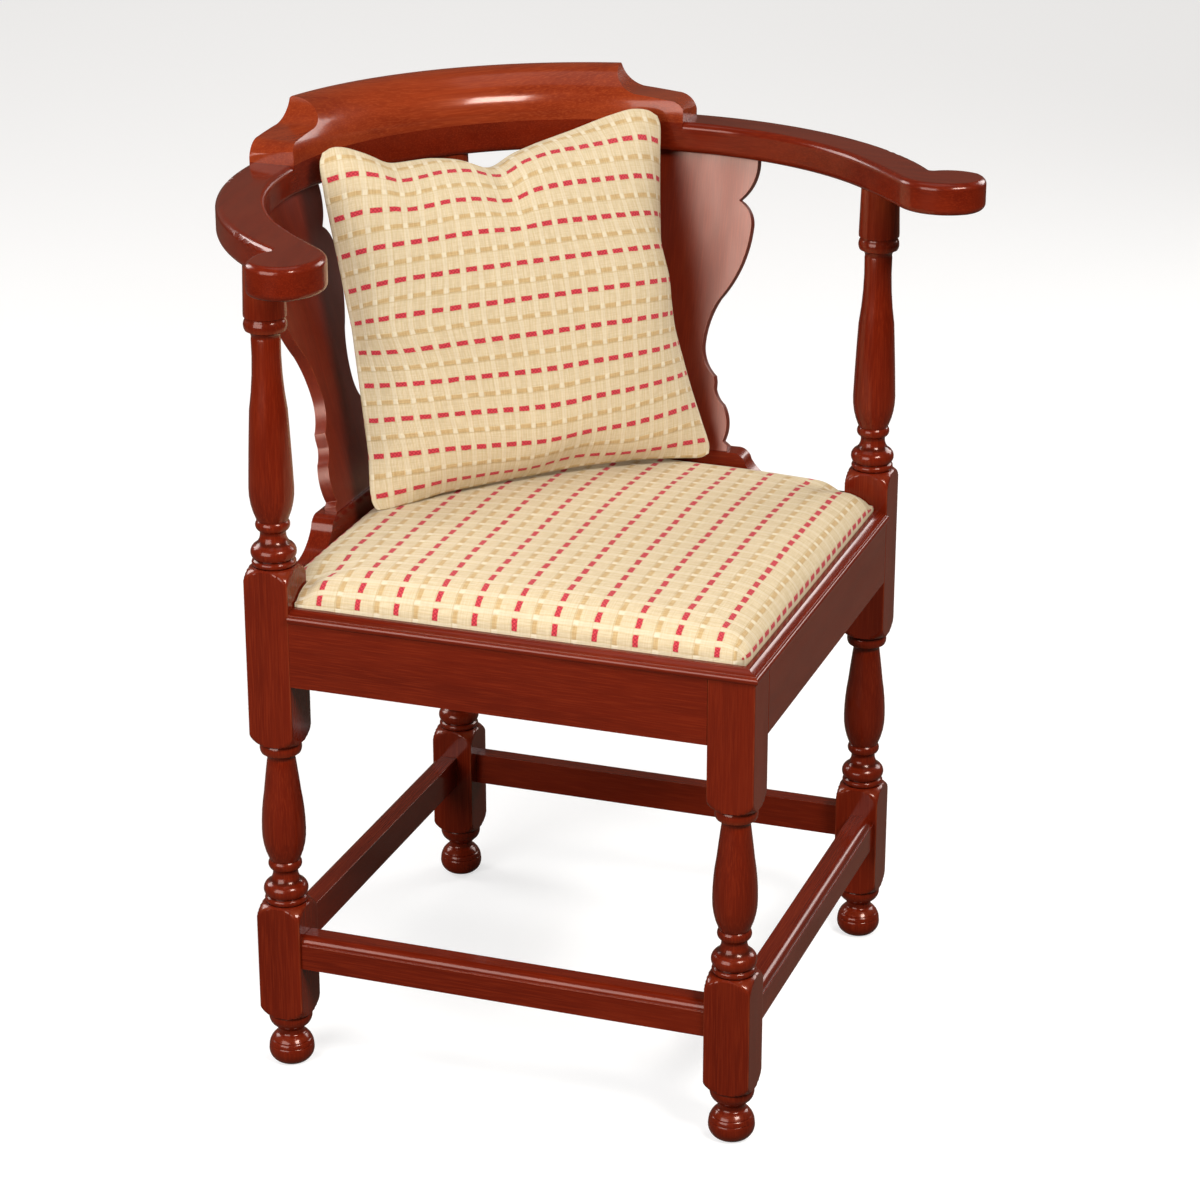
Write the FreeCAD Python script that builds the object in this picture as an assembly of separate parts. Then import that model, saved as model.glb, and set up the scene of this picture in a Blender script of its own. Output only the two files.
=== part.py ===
import FreeCAD, Part
import math
import os
from FreeCAD import Vector

# Corner chair, in millimetres. Z is up and the floor is z = 0. The seat is a square turned by 45
# degrees, so one leg stands at the front (-Y), one at the back (+Y) and one at each side (X).
# A "side" of the square is modelled along the X axis with its outer face towards -Y and is then
# turned about Z into its place.

# Seat square and legs
leg_spacing = 406.0
leg_block_width = 40.0
lower_block_bottom = 47.0
lower_block_top = 155.5
upper_block_bottom = 305.5
upper_block_top = 466.0
block_end_rounding = 16.0
block_end_radius = 18.6

# Turned foot under each lower block
foot_flat_radius = 12.0
foot_ball_radius = 19.8
foot_ball_level = 13.8
foot_neck_radius = 11.2
foot_neck_level = 31.4
foot_cup_radius = 19.0
foot_score_level = 21.5
foot_score_depth = 0.8

# Turned length between two blocks, or between a block and the arm: two rings on the block, a cove,
# a bead, a vase and a collar, with heights measured up from the block
ring_radius = 18.6
ring_height = 5.5
bulb_radius = 19.2
bulb_level = 11.5
cove_radius = 10.8
cove_level = 27.0
bead_radius = 14.6
bead_level = 36.0
bead_height = 8.0
vase_start_radius = 13.9
vase_radius = 18.95
vase_bulge_rise = 25.0
neck_radius = 12.3
neck_to_collar = 7.0
collar_height = 9.5
collar_radius = 18.1

# Plain round length of a post under the arm, and its tenon
post_plain_height = 46.0
post_plain_radius = 18.0
post_top_radius = 16.9
post_score_depth = 1.2
post_tenon_radius = 9.0
post_tenon_length = 16.0

# Seat rails
rail_bottom = 365.0
seat_ledge_level = 423.0
rail_thickness = 27.0
back_rail_wall = 20.0
seat_rim_level = 433.5

# Tenons of rails and stretchers
tenon_thickness = 9.0
tenon_length = 15.0
tenon_shoulder = 6.0
joint_gap = 0.15

# Applied moulding on the two front rails
moulding_overhang = 2.8
moulding_width = 14.0
moulding_bead_height = 6.0
moulding_quirk_depth = 1.8
moulding_top_width = 4.0

# Stretchers
stretcher_bottom = 99.0
stretcher_height = 30.0
stretcher_thickness = 22.0
stretcher_setback = 3.0
stretcher_face_height = 23.0
stretcher_quirk = 1.2
stretcher_round_width = 8.0

# Raked back splats and their shoes on the back rails
splat_rake = 15.0
splat_thickness = 11.0
splat_face_inset = 5.5
splat_tongue = 7.0
splat_foot_half_width = 64.8
splat_bulb_half_width = 62.3
splat_cusp_half_width = 47.2
splat_waist_half_width = 32.6
splat_wing_half_width = 68.6
splat_nick_half_width = 55.0
splat_foot_rise = 5.7
splat_bulb_rise = 19.7
splat_cusp_rise = 52.3
splat_scroll_rise = 64.2
splat_waist_rise = 94.7
splat_swell_rise = 134.6
splat_wing_rise = 201.9
splat_nick_rise = 225.7
splat_head_margin = 1.0
splat_drawn_height = 269.1718069  # shoe to arm along the rake; the rises above are drawn on this height
shoe_height = 31.5
shoe_foot_half_width = 128.0
shoe_top_half_width = 70.0
shoe_edge_height = 1.2

# Arms: a round band centred on the chair, with an outward paddle at each front end
arm_underside = 725.0
arm_thickness = 28.0
arm_width = 42.0
arm_edge_round = 6.0
paddle_notch_reach = 60.0
paddle_notch_radius = 1.5
paddle_outer_reach = 88.0
paddle_tip_reach = 119.0
paddle_inner_reach = 72.0
paddle_outward = 26.0
paddle_tip_inset = 3.0
paddle_inward = 3.0
paddle_round = 8.6

# Crest rail on the arms
crest_height = 44.0
crest_band_height = 4.0
crest_half_angle = 45.0
crest_top_flat = 4.0
crest_end_centre_angle = 40.0
crest_shoulder_height = 23.0
crest_cove_start = 44.0
crest_nose_reach = 27.0

# Corner blocks and screws
corner_block_reach = 76.0
corner_block_bottom = 385.0
corner_block_height = 30.0
screw_head_radius = 4.0
screw_head_height = 2.5
screw_shank_radius = 2.0
screw_length = 28.0
screw_bore_gap = 0.2
corner_screw_inset = 46.0
corner_screw_cover = 14.0
crest_screw_angles = (-26.0, -9.0, 9.0, 26.0)
crest_screw_recess = 8.0
crest_screw_length = 40.0

# Drop-in seat
seat_side_gap = 0.8
seat_post_gap = 1.2
seat_rest_gap = 0.3
cover_thickness = 1.5
cover_hem_width = 22.0
seat_frame_width = 48.0
seat_frame_thickness = 12.0
seat_side_height = 14.0
seat_crown_height = 34.0
crown_round_width = 28.0
crown_round_share = 0.78
seat_layer_gap = 0.3
seat_corner_radius = 14.0
webbing_width = 50.0
webbing_thickness = 1.5
webbing_pitch = 88.0
dust_cover_thickness = 0.5
dust_cover_margin = 2.0

# Loose pillow
pillow_width = 336.0
pillow_height = 322.0
pillow_half_thickness = 56.0
pillow_edge_half = 3.0
pillow_shell = 1.5
pillow_shift = 5.0
pillow_lean = 18.4
pillow_foot_y = 93.0
pillow_foot_level = 462.0
pillow_side_draw = 15.0
pillow_foot_draw = 7.0
pillow_top_draw = 30.0
pillow_top_bulge = 8.0

# Derived places
half_spacing = leg_spacing / 2
frame_half = half_spacing + leg_block_width / 2
block_inner = half_spacing - leg_block_width / 2
rail_inner = frame_half - rail_thickness
back_ledge_line = frame_half - back_rail_wall
front_ledge_line = frame_half + moulding_overhang - moulding_width
leg_reach = leg_spacing / math.sqrt(2.0)
arm_top = arm_underside + arm_thickness
arm_inner_radius = leg_reach - arm_width / 2
arm_outer_radius = leg_reach + arm_width / 2
crest_top = arm_top + crest_height
shoe_top = seat_rim_level + shoe_height
cos_rake = math.cos(math.radians(splat_rake))

SIDE_ANGLES = {"front_left": -45.0, "front_right": 45.0, "back_right": 135.0, "back_left": 225.0}
FRONT_SIDES = ("front_left", "front_right")
BACK_SIDES = ("back_left", "back_right")
LEG_PLACES = {
    "front": (0.0, -1.0),
    "right": (1.0, 0.0),
    "back": (0.0, 1.0),
    "left": (-1.0, 0.0),
}
Z_AXIS = Vector(0, 0, 1)
ORIGIN = Vector(0, 0, 0)

# The widest reach of the chair to the front and to the back isn't the same, so the whole model is
# moved along Y until its box is centred on the origin.
front_reach = (frame_half + moulding_overhang) * math.sqrt(2.0)
back_reach = frame_half * math.sqrt(2.0)
centring = Vector(0, (front_reach - back_reach) / 2, 0)


class Outline:
    """A closed outline of lines and arcs in the plane of two axes, started at one point."""

    def __init__(self, a, b, axes="xz", level=0.0):
        self.axes = axes
        self.level = level
        self.start = self.point(a, b)
        self.last = self.start
        self.edges = []

    def point(self, a, b):
        """Turn two outline values into a point in space."""
        if self.axes == "xz":
            return Vector(a, self.level, b)
        if self.axes == "yz":
            return Vector(self.level, a, b)
        return Vector(a, b, self.level)

    def line(self, a, b):
        """Go straight to a point."""
        target = self.point(a, b)
        self.edges.append(Part.LineSegment(self.last, target).toShape())
        self.last = target
        return self

    def arc(self, mid_a, mid_b, a, b):
        """Go to a point by an arc through a middle point."""
        target = self.point(a, b)
        middle = self.point(mid_a, mid_b)
        self.edges.append(Part.Arc(self.last, middle, target).toShape())
        self.last = target
        return self

    def wire(self):
        """Close the outline and return its wire."""
        if self.last.distanceToPoint(self.start) > 1e-6:
            self.edges.append(Part.LineSegment(self.last, self.start).toShape())
        return Part.Wire(self.edges)

    def face(self):
        """Return the face inside the outline."""
        return Part.Face(self.wire())


def box(x0, x1, y0, y1, z0, z1):
    """Make a box between two corners."""
    return Part.makeBox(x1 - x0, y1 - y0, z1 - z0, Vector(x0, y0, z0))


def turned(outline):
    """Turn an outline in the XZ plane about the Z axis."""
    return outline.face().revolve(ORIGIN, Z_AXIS, 360)


def turn_to(shape, angle):
    """Return a copy of a shape turned about the Z axis."""
    copy = shape.copy()
    copy.rotate(ORIGIN, Z_AXIS, angle)
    return copy


def mirrored(shape):
    """Return the mirror image of a shape across the YZ plane."""
    return shape.mirror(ORIGIN, Vector(1, 0, 0))


def save(name, shape):
    """Move a finished piece to the centred frame and write its file."""
    piece = shape.removeSplitter()
    piece.translate(centring)
    piece.exportStep("parts/" + name + ".step")


# Legs


def foot_solid():
    """Make the ball foot with its neck and cup, up to the lower block."""
    ball_top = (foot_ball_level + foot_neck_level) / 2
    ball_top_radius = (foot_ball_radius + foot_neck_radius) / 2 + 1.6
    cup_level = (foot_neck_level + lower_block_bottom) / 2 + 3.5
    outline = Outline(0, 0)
    outline.line(foot_flat_radius, 0)
    outline.arc(foot_ball_radius - 1.6, foot_ball_level / 2 - 1.6, foot_ball_radius, foot_ball_level)
    outline.arc(foot_ball_radius - 0.5, ball_top - 4.4, ball_top_radius, ball_top)
    outline.line(foot_neck_radius, foot_neck_level - 1.0)
    outline.line(foot_neck_radius, foot_neck_level + 1.0)
    outline.arc(foot_cup_radius - 2.3, cup_level - 4.6, foot_cup_radius, cup_level)
    outline.arc(foot_cup_radius + 0.3, (cup_level + lower_block_bottom) / 2,
                foot_cup_radius, lower_block_bottom)
    outline.line(0, lower_block_bottom)
    foot = turned(outline)
    score_radius = ball_top_radius + 1.6
    score = Part.makeTorus(score_radius + foot_score_depth, foot_score_depth * 1.5,
                           Vector(0, 0, foot_score_level))
    return foot.cut(score)


def block_solid(bottom, top, round_bottom=True, round_top=True):
    """Make a square block whose corners are rounded off by turning at its ends."""
    half = leg_block_width / 2
    corner = half * math.sqrt(2.0) + 0.5
    swell = (corner - block_end_radius) * 0.72
    outline = Outline(0, bottom)
    if round_bottom:
        outline.line(block_end_radius, bottom)
        outline.arc(block_end_radius + swell, bottom + block_end_rounding * 0.42,
                    corner, bottom + block_end_rounding)
    else:
        outline.line(corner, bottom)
    if round_top:
        outline.line(corner, top - block_end_rounding)
        outline.arc(block_end_radius + swell, top - block_end_rounding * 0.42,
                    block_end_radius, top)
    else:
        outline.line(corner, top)
    outline.line(0, top)
    square = box(-half, half, -half, half, bottom, top)
    return square.common(turned(outline))


def spindle_solid(bottom, top):
    """Make the turned length that starts on a block and ends under a block or an arm."""
    collar_bottom = top - collar_height
    neck = collar_bottom - neck_to_collar
    cove = bottom + cove_level
    bead = bottom + bead_level
    vase_start = bead + bead_height / 2 + 1.0
    bulge = vase_start + vase_bulge_rise
    vase_mid = bulge + (neck - bulge) * 0.5
    vase_mid_radius = (vase_radius + neck_radius) / 2 + 0.35
    outline = Outline(0, bottom)
    outline.line(block_end_radius - 1.2, bottom)
    outline.arc(ring_radius, bottom + ring_height / 2, ring_radius - 1.2, bottom + ring_height)
    outline.line(bulb_radius - 1.0, bottom + ring_height + 1.0)
    outline.arc(bulb_radius + 0.2, bottom + bulb_level, bulb_radius - 2.4, bottom + bulb_level + 6.0)
    outline.arc(cove_radius + 1.9, cove - 6.0, cove_radius, cove)
    outline.arc(cove_radius + 0.9, cove + 2.6, bead_radius - 1.4, bead - bead_height / 2)
    outline.arc(bead_radius, bead, bead_radius - 1.2, bead + bead_height / 2)
    outline.line(vase_start_radius, vase_start)
    outline.arc(vase_radius - 1.2, bulge - 10.0, vase_radius, bulge)
    outline.arc(vase_radius - 0.9, (bulge + vase_mid) / 2 - 2.0, vase_mid_radius, vase_mid)
    outline.arc(neck_radius + 0.95, (vase_mid + neck) / 2 + 4.0, neck_radius, neck)
    outline.arc(neck_radius + 1.4, collar_bottom - 2.4, collar_radius - 2.6, collar_bottom)
    outline.line(collar_radius - 1.2, collar_bottom + 1.2)
    outline.arc(collar_radius, (collar_bottom + top) / 2 + 0.6, collar_radius - 1.2, top)
    outline.line(0, top)
    return turned(outline)


def post_top_solid():
    """Make the plain round length under the arm, with a scored line at its foot and the tenon."""
    bottom = arm_underside - post_plain_height
    outline = Outline(0, bottom)
    outline.line(post_plain_radius - post_score_depth, bottom)
    outline.line(post_plain_radius - post_score_depth, bottom + 1.4)
    outline.line(post_plain_radius, bottom + 2.4)
    outline.line(post_top_radius, arm_underside)
    outline.line(post_tenon_radius, arm_underside)
    outline.line(post_tenon_radius, arm_underside + post_tenon_length)
    outline.line(0, arm_underside + post_tenon_length)
    return turned(outline)


def leg_solid(place):
    """Make one leg; the front leg ends under the moulding and the others rise to the arms."""
    parts = [
        foot_solid(),
        block_solid(lower_block_bottom, lower_block_top),
        spindle_solid(lower_block_top, upper_block_bottom),
    ]
    if place == "front":
        parts.append(block_solid(upper_block_bottom, seat_ledge_level, round_top=False))
    else:
        parts.append(block_solid(upper_block_bottom, upper_block_top))
        parts.append(spindle_solid(upper_block_top, arm_underside - post_plain_height))
        parts.append(post_top_solid())
    leg = parts[0].multiFuse(parts[1:])
    leg.rotate(ORIGIN, Z_AXIS, 45)
    along_x, along_y = LEG_PLACES[place]
    leg.translate(Vector(along_x * leg_reach, along_y * leg_reach, 0))
    return leg.cut(mortise_cutter())


# Rails and stretchers


def end_tenons(centre_y, bottom, top, gap):
    """Make the tenons at both ends of a piece that runs between two legs."""
    half = tenon_thickness / 2 + gap
    reach = block_inner + tenon_length + gap
    return [
        box(-reach, -block_inner, centre_y - half, centre_y + half, bottom - gap, top + gap),
        box(block_inner, reach, centre_y - half, centre_y + half, bottom - gap, top + gap),
    ]


def rail_tenons(gap=0.0):
    """Make the tenons of one seat rail."""
    centre = -frame_half + rail_thickness / 2
    return end_tenons(centre, rail_bottom + tenon_shoulder, seat_ledge_level - tenon_shoulder, gap)


def stretcher_tenons(gap=0.0):
    """Make the tenons of one stretcher."""
    centre = -frame_half + stretcher_setback + stretcher_thickness / 2
    top = stretcher_bottom + stretcher_face_height
    return end_tenons(centre, stretcher_bottom + tenon_shoulder / 2, top, gap)


def mortise_cutter():
    """Make one shape of all the mortises in the four legs."""
    cutters = []
    for angle in SIDE_ANGLES.values():
        for tenon in rail_tenons(joint_gap) + stretcher_tenons(joint_gap):
            cutters.append(turn_to(tenon, angle))
    return Part.makeCompound(cutters)


def front_rail_solid():
    """Make a front seat rail, whose inner top edge is the ledge for the seat."""
    rail = box(-block_inner, block_inner, -frame_half, -rail_inner, rail_bottom, seat_ledge_level)
    return rail.multiFuse(rail_tenons())


def back_rail_solid():
    """Make a back seat rail, rebated along its inner top edge for the seat."""
    rail = box(-block_inner, block_inner, -frame_half, -rail_inner, rail_bottom, seat_rim_level)
    rebate = box(-block_inner, block_inner, -back_ledge_line, -rail_inner,
                 seat_ledge_level, seat_rim_level)
    return rail.cut(rebate).multiFuse(rail_tenons())


def stretcher_solid():
    """Make a box stretcher with a quirk and a quarter round on its outer top edge."""
    outer = -frame_half + stretcher_setback
    inner = outer + stretcher_thickness
    top = stretcher_bottom + stretcher_height
    face_top = stretcher_bottom + stretcher_face_height
    round_drop = top - face_top - stretcher_quirk
    outline = Outline(outer, stretcher_bottom, "yz", -block_inner)
    outline.line(outer, face_top)
    outline.line(outer + stretcher_quirk, face_top)
    outline.line(outer + stretcher_quirk, face_top + stretcher_quirk)
    outline.arc(outer + stretcher_quirk + stretcher_round_width * 0.29, top - round_drop * 0.29,
                outer + stretcher_quirk + stretcher_round_width, top)
    outline.line(inner, top)
    outline.line(inner, stretcher_bottom)
    bar = outline.face().extrude(Vector(2 * block_inner, 0, 0))
    return bar.multiFuse(stretcher_tenons())


def moulding_solid():
    """Make the moulding of the front left rail, mitred over the front leg."""
    outer = -frame_half - moulding_overhang
    inner = outer + moulding_width
    bead_top = seat_ledge_level + moulding_bead_height
    quirk = outer + moulding_quirk_depth + 1.2
    shelf = inner - moulding_top_width
    outline = Outline(inner, seat_ledge_level, "yz", -block_inner)
    outline.line(outer + 1.4, seat_ledge_level)
    outline.arc(outer, seat_ledge_level + moulding_bead_height / 2, outer + 1.4, bead_top)
    outline.line(quirk, bead_top)
    outline.line(quirk, bead_top + 0.6)
    outline.arc((quirk + shelf) / 2 + 0.9, (bead_top + seat_rim_level) / 2 - 0.3,
                shelf, seat_rim_level - 0.8)
    outline.line(shelf, seat_rim_level)
    outline.line(inner, seat_rim_level)
    strip = outline.face().extrude(Vector(block_inner - outer, 0, 0))
    reach = frame_half * 2
    waste = Outline(0, 0, "xy", seat_ledge_level - 1)
    waste.line(reach, -reach)
    waste.line(reach, 0)
    mitre = waste.face().extrude(Vector(0, 0, seat_rim_level - seat_ledge_level + 2))
    return strip.cut(mitre)


# Splats and shoes


def splat_board(gap=0.0):
    """Make a raked splat board, thicker all round by a gap where it is used as a cutter."""
    foot = -splat_tongue / cos_rake - gap
    brow = (arm_underside - shoe_top) / cos_rake
    head = brow + splat_tongue + gap
    stretch = brow / splat_drawn_height
    foot_rise, bulb_rise, cusp_rise, scroll_rise = (stretch * rise for rise in (
        splat_foot_rise, splat_bulb_rise, splat_cusp_rise, splat_scroll_rise))
    waist_rise, swell_rise, wing_rise, nick_rise = (stretch * rise for rise in (
        splat_waist_rise, splat_swell_rise, splat_wing_rise, splat_nick_rise))
    bulb = splat_bulb_half_width
    cusp = splat_cusp_half_width
    waist = splat_waist_half_width
    wing = splat_wing_half_width
    nick = splat_nick_half_width
    swell = waist + (wing - waist) * 0.32
    scroll_top = cusp_rise + (scroll_rise - cusp_rise) * 0.55
    points = Outline(splat_foot_half_width + gap, foot, "xz", 0.0)
    points.line(splat_foot_half_width + gap, foot_rise * 0.4)
    points.line(bulb - 2.6, foot_rise)
    points.arc(bulb, bulb_rise, (bulb + cusp) / 2 + 1.7, (bulb_rise + cusp_rise) / 2 + 2.8 * stretch)
    points.arc((bulb + cusp) / 2 - 4.3, cusp_rise - 7.3 * stretch, cusp, cusp_rise)
    points.line(cusp, scroll_top)
    points.line(cusp - 1.2, scroll_rise)
    points.arc((cusp + waist) / 2 - 3.3, (scroll_rise + waist_rise) / 2 - 3.9 * stretch, waist, waist_rise)
    points.arc((waist + swell) / 2 - 2.5, (waist_rise + swell_rise) / 2, swell, swell_rise)
    points.arc((swell + wing) / 2 + 3.8, (swell_rise + wing_rise) / 2 - 5.7 * stretch, wing, wing_rise)
    points.arc(wing - 3.2, (wing_rise + nick_rise) / 2 + 1.9 * stretch, nick, nick_rise)
    points.arc(wing - 4.0, (nick_rise + brow) / 2 - 9.6 * stretch, wing, brow - splat_head_margin)
    points.line(wing + gap, brow)
    points.line(wing + gap, head)
    points.line(0, head)
    points.line(0, foot)
    half = points.face().extrude(Vector(0, splat_thickness + 2 * gap, 0))
    half.translate(Vector(0, -gap, 0))
    board = half.fuse(mirrored(half)).removeSplitter()
    board.rotate(ORIGIN, Vector(1, 0, 0), splat_rake)
    board.translate(Vector(0, -frame_half + splat_face_inset, shoe_top))
    return board


def shoe_solid():
    """Make the pedestal of a splat, with ogee ends, slotted for the splat."""
    half = shoe_top_half_width
    foot = shoe_foot_half_width
    edge = seat_rim_level + shoe_edge_height
    outline = Outline(-foot, seat_rim_level, "xz", -frame_half)
    outline.line(foot, seat_rim_level)
    outline.line(foot, edge)
    outline.arc(foot - 36.0, seat_rim_level + shoe_height * 0.36,
                half + 13.5, seat_rim_level + shoe_height * 0.68)
    outline.arc(half + 9.4, shoe_top - 2.8, half, shoe_top)
    outline.line(-half, shoe_top)
    outline.arc(-half - 9.4, shoe_top - 2.8, -half - 13.5, seat_rim_level + shoe_height * 0.68)
    outline.arc(-foot + 36.0, seat_rim_level + shoe_height * 0.36, -foot, edge)
    shoe = outline.face().extrude(Vector(0, back_rail_wall, 0))
    return shoe.cut(splat_board(joint_gap))


# Arms and crest rail


def arm_plan(square_part):
    """Make the plan face of the right arm: its part under the crest rail, or all in front of it."""
    split = math.radians(crest_half_angle)
    sin_split = math.sin(split)
    cos_split = math.cos(split)
    ri = arm_inner_radius
    ro = arm_outer_radius
    if square_part:
        half = split / 2
        plan = Outline(0, ri, "xy", arm_underside)
        plan.arc(ri * math.sin(half), ri * math.cos(half), ri * sin_split, ri * cos_split)
        plan.line(ro * sin_split, ro * cos_split)
        plan.arc(ro * math.sin(half), ro * math.cos(half), 0, ro)
        return plan.face()
    notch_x, notch_y = paddle_notch()
    outer_mid = (split + math.atan2(notch_x, notch_y)) / 2
    inner_mid = (split + math.pi / 2) / 2
    inner_x = ri - paddle_inward
    tip_x = ro - paddle_tip_inset
    outer_x = ro + paddle_outward
    plan = Outline(ri * sin_split, ri * cos_split, "xy", arm_underside)
    plan.arc(ri * math.sin(inner_mid), ri * math.cos(inner_mid), ri, 0)
    plan.arc(ri - paddle_inward * 0.2, -paddle_inner_reach / 2, inner_x, -paddle_inner_reach)
    plan.arc(inner_x + (tip_x - inner_x) * 0.3, -paddle_tip_reach + paddle_round * 1.55,
             tip_x, -paddle_tip_reach)
    plan.arc(outer_x - paddle_round, -paddle_tip_reach + paddle_round * 1.04,
             outer_x, -paddle_outer_reach)
    plan.arc(outer_x - paddle_round, -paddle_notch_reach - paddle_round * 1.4, notch_x, notch_y)
    plan.arc(ro * math.sin(outer_mid), ro * math.cos(outer_mid), ro * sin_split, ro * cos_split)
    return plan.face()


def paddle_notch():
    """Return the plan place of the sharp notch where a paddle leaves the arm's outer edge."""
    return math.sqrt(arm_outer_radius ** 2 - paddle_notch_reach ** 2), -paddle_notch_reach


def edges_at(shape, level, keep):
    """List the edges of a shape that lie flat at a level and pass a test of their middle point."""
    found = []
    for edge in shape.Edges:
        middle = edge.valueAt((edge.FirstParameter + edge.LastParameter) / 2)
        flat = edge.BoundBox.ZLength < 1e-6 and abs(middle.z - level) < 1e-6
        if flat and keep(middle):
            found.append(edge)
    return found


def upright_edges_at(shape, x, y):
    """List the upright edges of a shape that stand on a point of the plan."""
    found = []
    for edge in shape.Edges:
        place = edge.BoundBox.Center
        if edge.BoundBox.ZLength > 1.0 and math.hypot(place.x - x, place.y - y) < 0.01:
            found.append(edge)
    return found


def off_split(point):
    """Say whether a point lies away from the radial ends of an arm's two parts."""
    angle = math.degrees(math.atan2(point.x, point.y))
    return abs(angle - crest_half_angle) > 0.5 and abs(angle) > 0.5


def arm_solid():
    """Make the right arm, rounded along its edges where they show."""
    rise = Vector(0, 0, arm_thickness)
    front = arm_plan(False).extrude(rise)
    front = front.makeFillet(paddle_notch_radius, upright_edges_at(front, *paddle_notch()))
    front_edges = edges_at(front, arm_underside, off_split) + edges_at(front, arm_top, off_split)
    front = front.makeFillet(arm_edge_round, front_edges)
    back = arm_plan(True).extrude(rise)
    back = back.makeFillet(arm_edge_round, edges_at(back, arm_underside, off_split))
    arm = front.fuse(back)
    socket_radius = post_tenon_radius + joint_gap
    socket_height = post_tenon_length + joint_gap
    for x, y in ((leg_reach, 0.0), (0.0, leg_reach)):
        arm = arm.cut(Part.makeCylinder(socket_radius, socket_height, Vector(x, y, arm_underside)))
    arm = arm.cut(turn_to(splat_board(joint_gap), SIDE_ANGLES["back_right"]))
    return arm.cut(crest_screws(screw_bore_gap))


def crest_solid():
    """Make the crest rail: a quarter-round section swept round the back, with shaped ends."""
    ri = arm_inner_radius
    ro = arm_outer_radius
    top_front = ro - crest_top_flat
    band = arm_top + crest_band_height
    depth = top_front - ri
    rise = crest_top - band
    section = Outline(ri, arm_top)
    section.line(ri, band)
    section.arc(top_front - depth * math.cos(math.pi / 4), band + rise * math.sin(math.pi / 4),
                top_front, crest_top)
    section.line(ro - 1.5, crest_top)
    section.line(ro, crest_top - 1.5)
    section.line(ro, arm_top)
    start = 90 - crest_half_angle
    ring = turn_to(section.face(), start).revolve(ORIGIN, Z_AXIS, 2 * crest_half_angle)
    right = crest_end_cutter()
    return ring.cut(right).cut(mirrored(right)).cut(crest_screws(screw_bore_gap))


def crest_end_cutter():
    """Make the cutter that shapes the right end of the crest: a cove, a shoulder and a nose."""
    high = crest_top + 5.0
    shoulder = arm_top + crest_shoulder_height
    outline = Outline(-crest_cove_start - 2.0, high, "xz", arm_inner_radius - 20.0)
    outline.line(-crest_cove_start, crest_top)
    outline.arc(-crest_cove_start + 6.5, shoulder + 8.6, -crest_cove_start + 21.0, shoulder)
    outline.line(crest_nose_reach - 18.0, shoulder - 4.0)
    outline.arc(crest_nose_reach - 5.0, shoulder - 9.5, crest_nose_reach, arm_top + crest_band_height)
    outline.line(crest_nose_reach + 40.0, arm_top + crest_band_height)
    outline.line(crest_nose_reach + 40.0, high)
    cutter = outline.face().extrude(Vector(0, arm_outer_radius - arm_inner_radius + 60.0, 0))
    return turn_to(cutter, -crest_end_centre_angle)


# Corner blocks and screws


def screw_solid(length, gap=0.0):
    """Make a screw that points along +Z with the top of its head at the origin."""
    head_radius = screw_head_radius + gap
    shank_radius = screw_shank_radius + gap
    head = Part.makeCylinder(head_radius, screw_head_height + gap)
    shank = Part.makeCylinder(shank_radius, length + gap)
    return head.fuse(shank)


def corner_screws(gap=0.0):
    """Make the two screws of the corner block behind a side's right-hand end."""
    level = corner_block_bottom + corner_block_height / 2
    head_at = rail_inner - corner_screw_cover
    screws = []
    along = screw_solid(screw_length, gap)
    if gap > 0:
        access = Part.makeCylinder(screw_head_radius + gap, corner_block_reach,
                                   Vector(0, 0, -corner_block_reach))
        along = along.fuse(access)
    out = along.copy()
    out.rotate(ORIGIN, Vector(1, 0, 0), 90)
    out.translate(Vector(rail_inner - corner_screw_inset, -head_at, level))
    screws.append(out)
    side = along.copy()
    side.rotate(ORIGIN, Vector(0, 1, 0), 90)
    side.translate(Vector(head_at, -rail_inner + corner_screw_inset, level))
    screws.append(side)
    return screws


def corner_block_solid():
    """Make the glue block of the front corner, notched round the leg."""
    reach = corner_block_reach
    outline = Outline(rail_inner, -block_inner, "xy", corner_block_bottom)
    outline.line(rail_inner, -rail_inner + reach)
    outline.line(rail_inner - reach, -rail_inner)
    outline.line(block_inner, -rail_inner)
    outline.line(block_inner, -block_inner)
    block = outline.face().extrude(Vector(0, 0, corner_block_height))
    for bore in corner_screws(screw_bore_gap):
        block = block.cut(bore)
    return block


def rail_bores():
    """Make the screw bores of both ends of one seat rail."""
    right = corner_screws(screw_bore_gap)[0]
    left = mirrored(right)
    return Part.makeCompound([right, left])


def crest_screws(gap=0.0):
    """Make the screws that hold the crest rail down on the arms from below."""
    screws = []
    for angle in crest_screw_angles:
        turn = math.radians(angle)
        place = Vector(leg_reach * math.sin(turn), leg_reach * math.cos(turn),
                       arm_underside + crest_screw_recess)
        screw = screw_solid(crest_screw_length, gap)
        if gap > 0:
            access = Part.makeCylinder(screw_head_radius + gap, crest_screw_recess + 1.0,
                                       Vector(0, 0, -crest_screw_recess - 1.0))
            screw = screw.fuse(access)
        screw.translate(place)
        screws.append(screw)
    return Part.makeCompound(screws)


# Drop-in seat


def post_notches(gap, bottom, top):
    """Make the room of the three posts that rise through the seat's corners."""
    line = block_inner - gap
    far = frame_half + 20.0
    notches = []
    for x_sign, y_sign in ((-1, -1), (1, 1), (-1, 1)):
        x0, x1 = sorted((x_sign * line, x_sign * far))
        y0, y1 = sorted((y_sign * line, y_sign * far))
        notches.append(box(x0, x1, y0, y1, bottom, top))
    return notches


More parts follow.
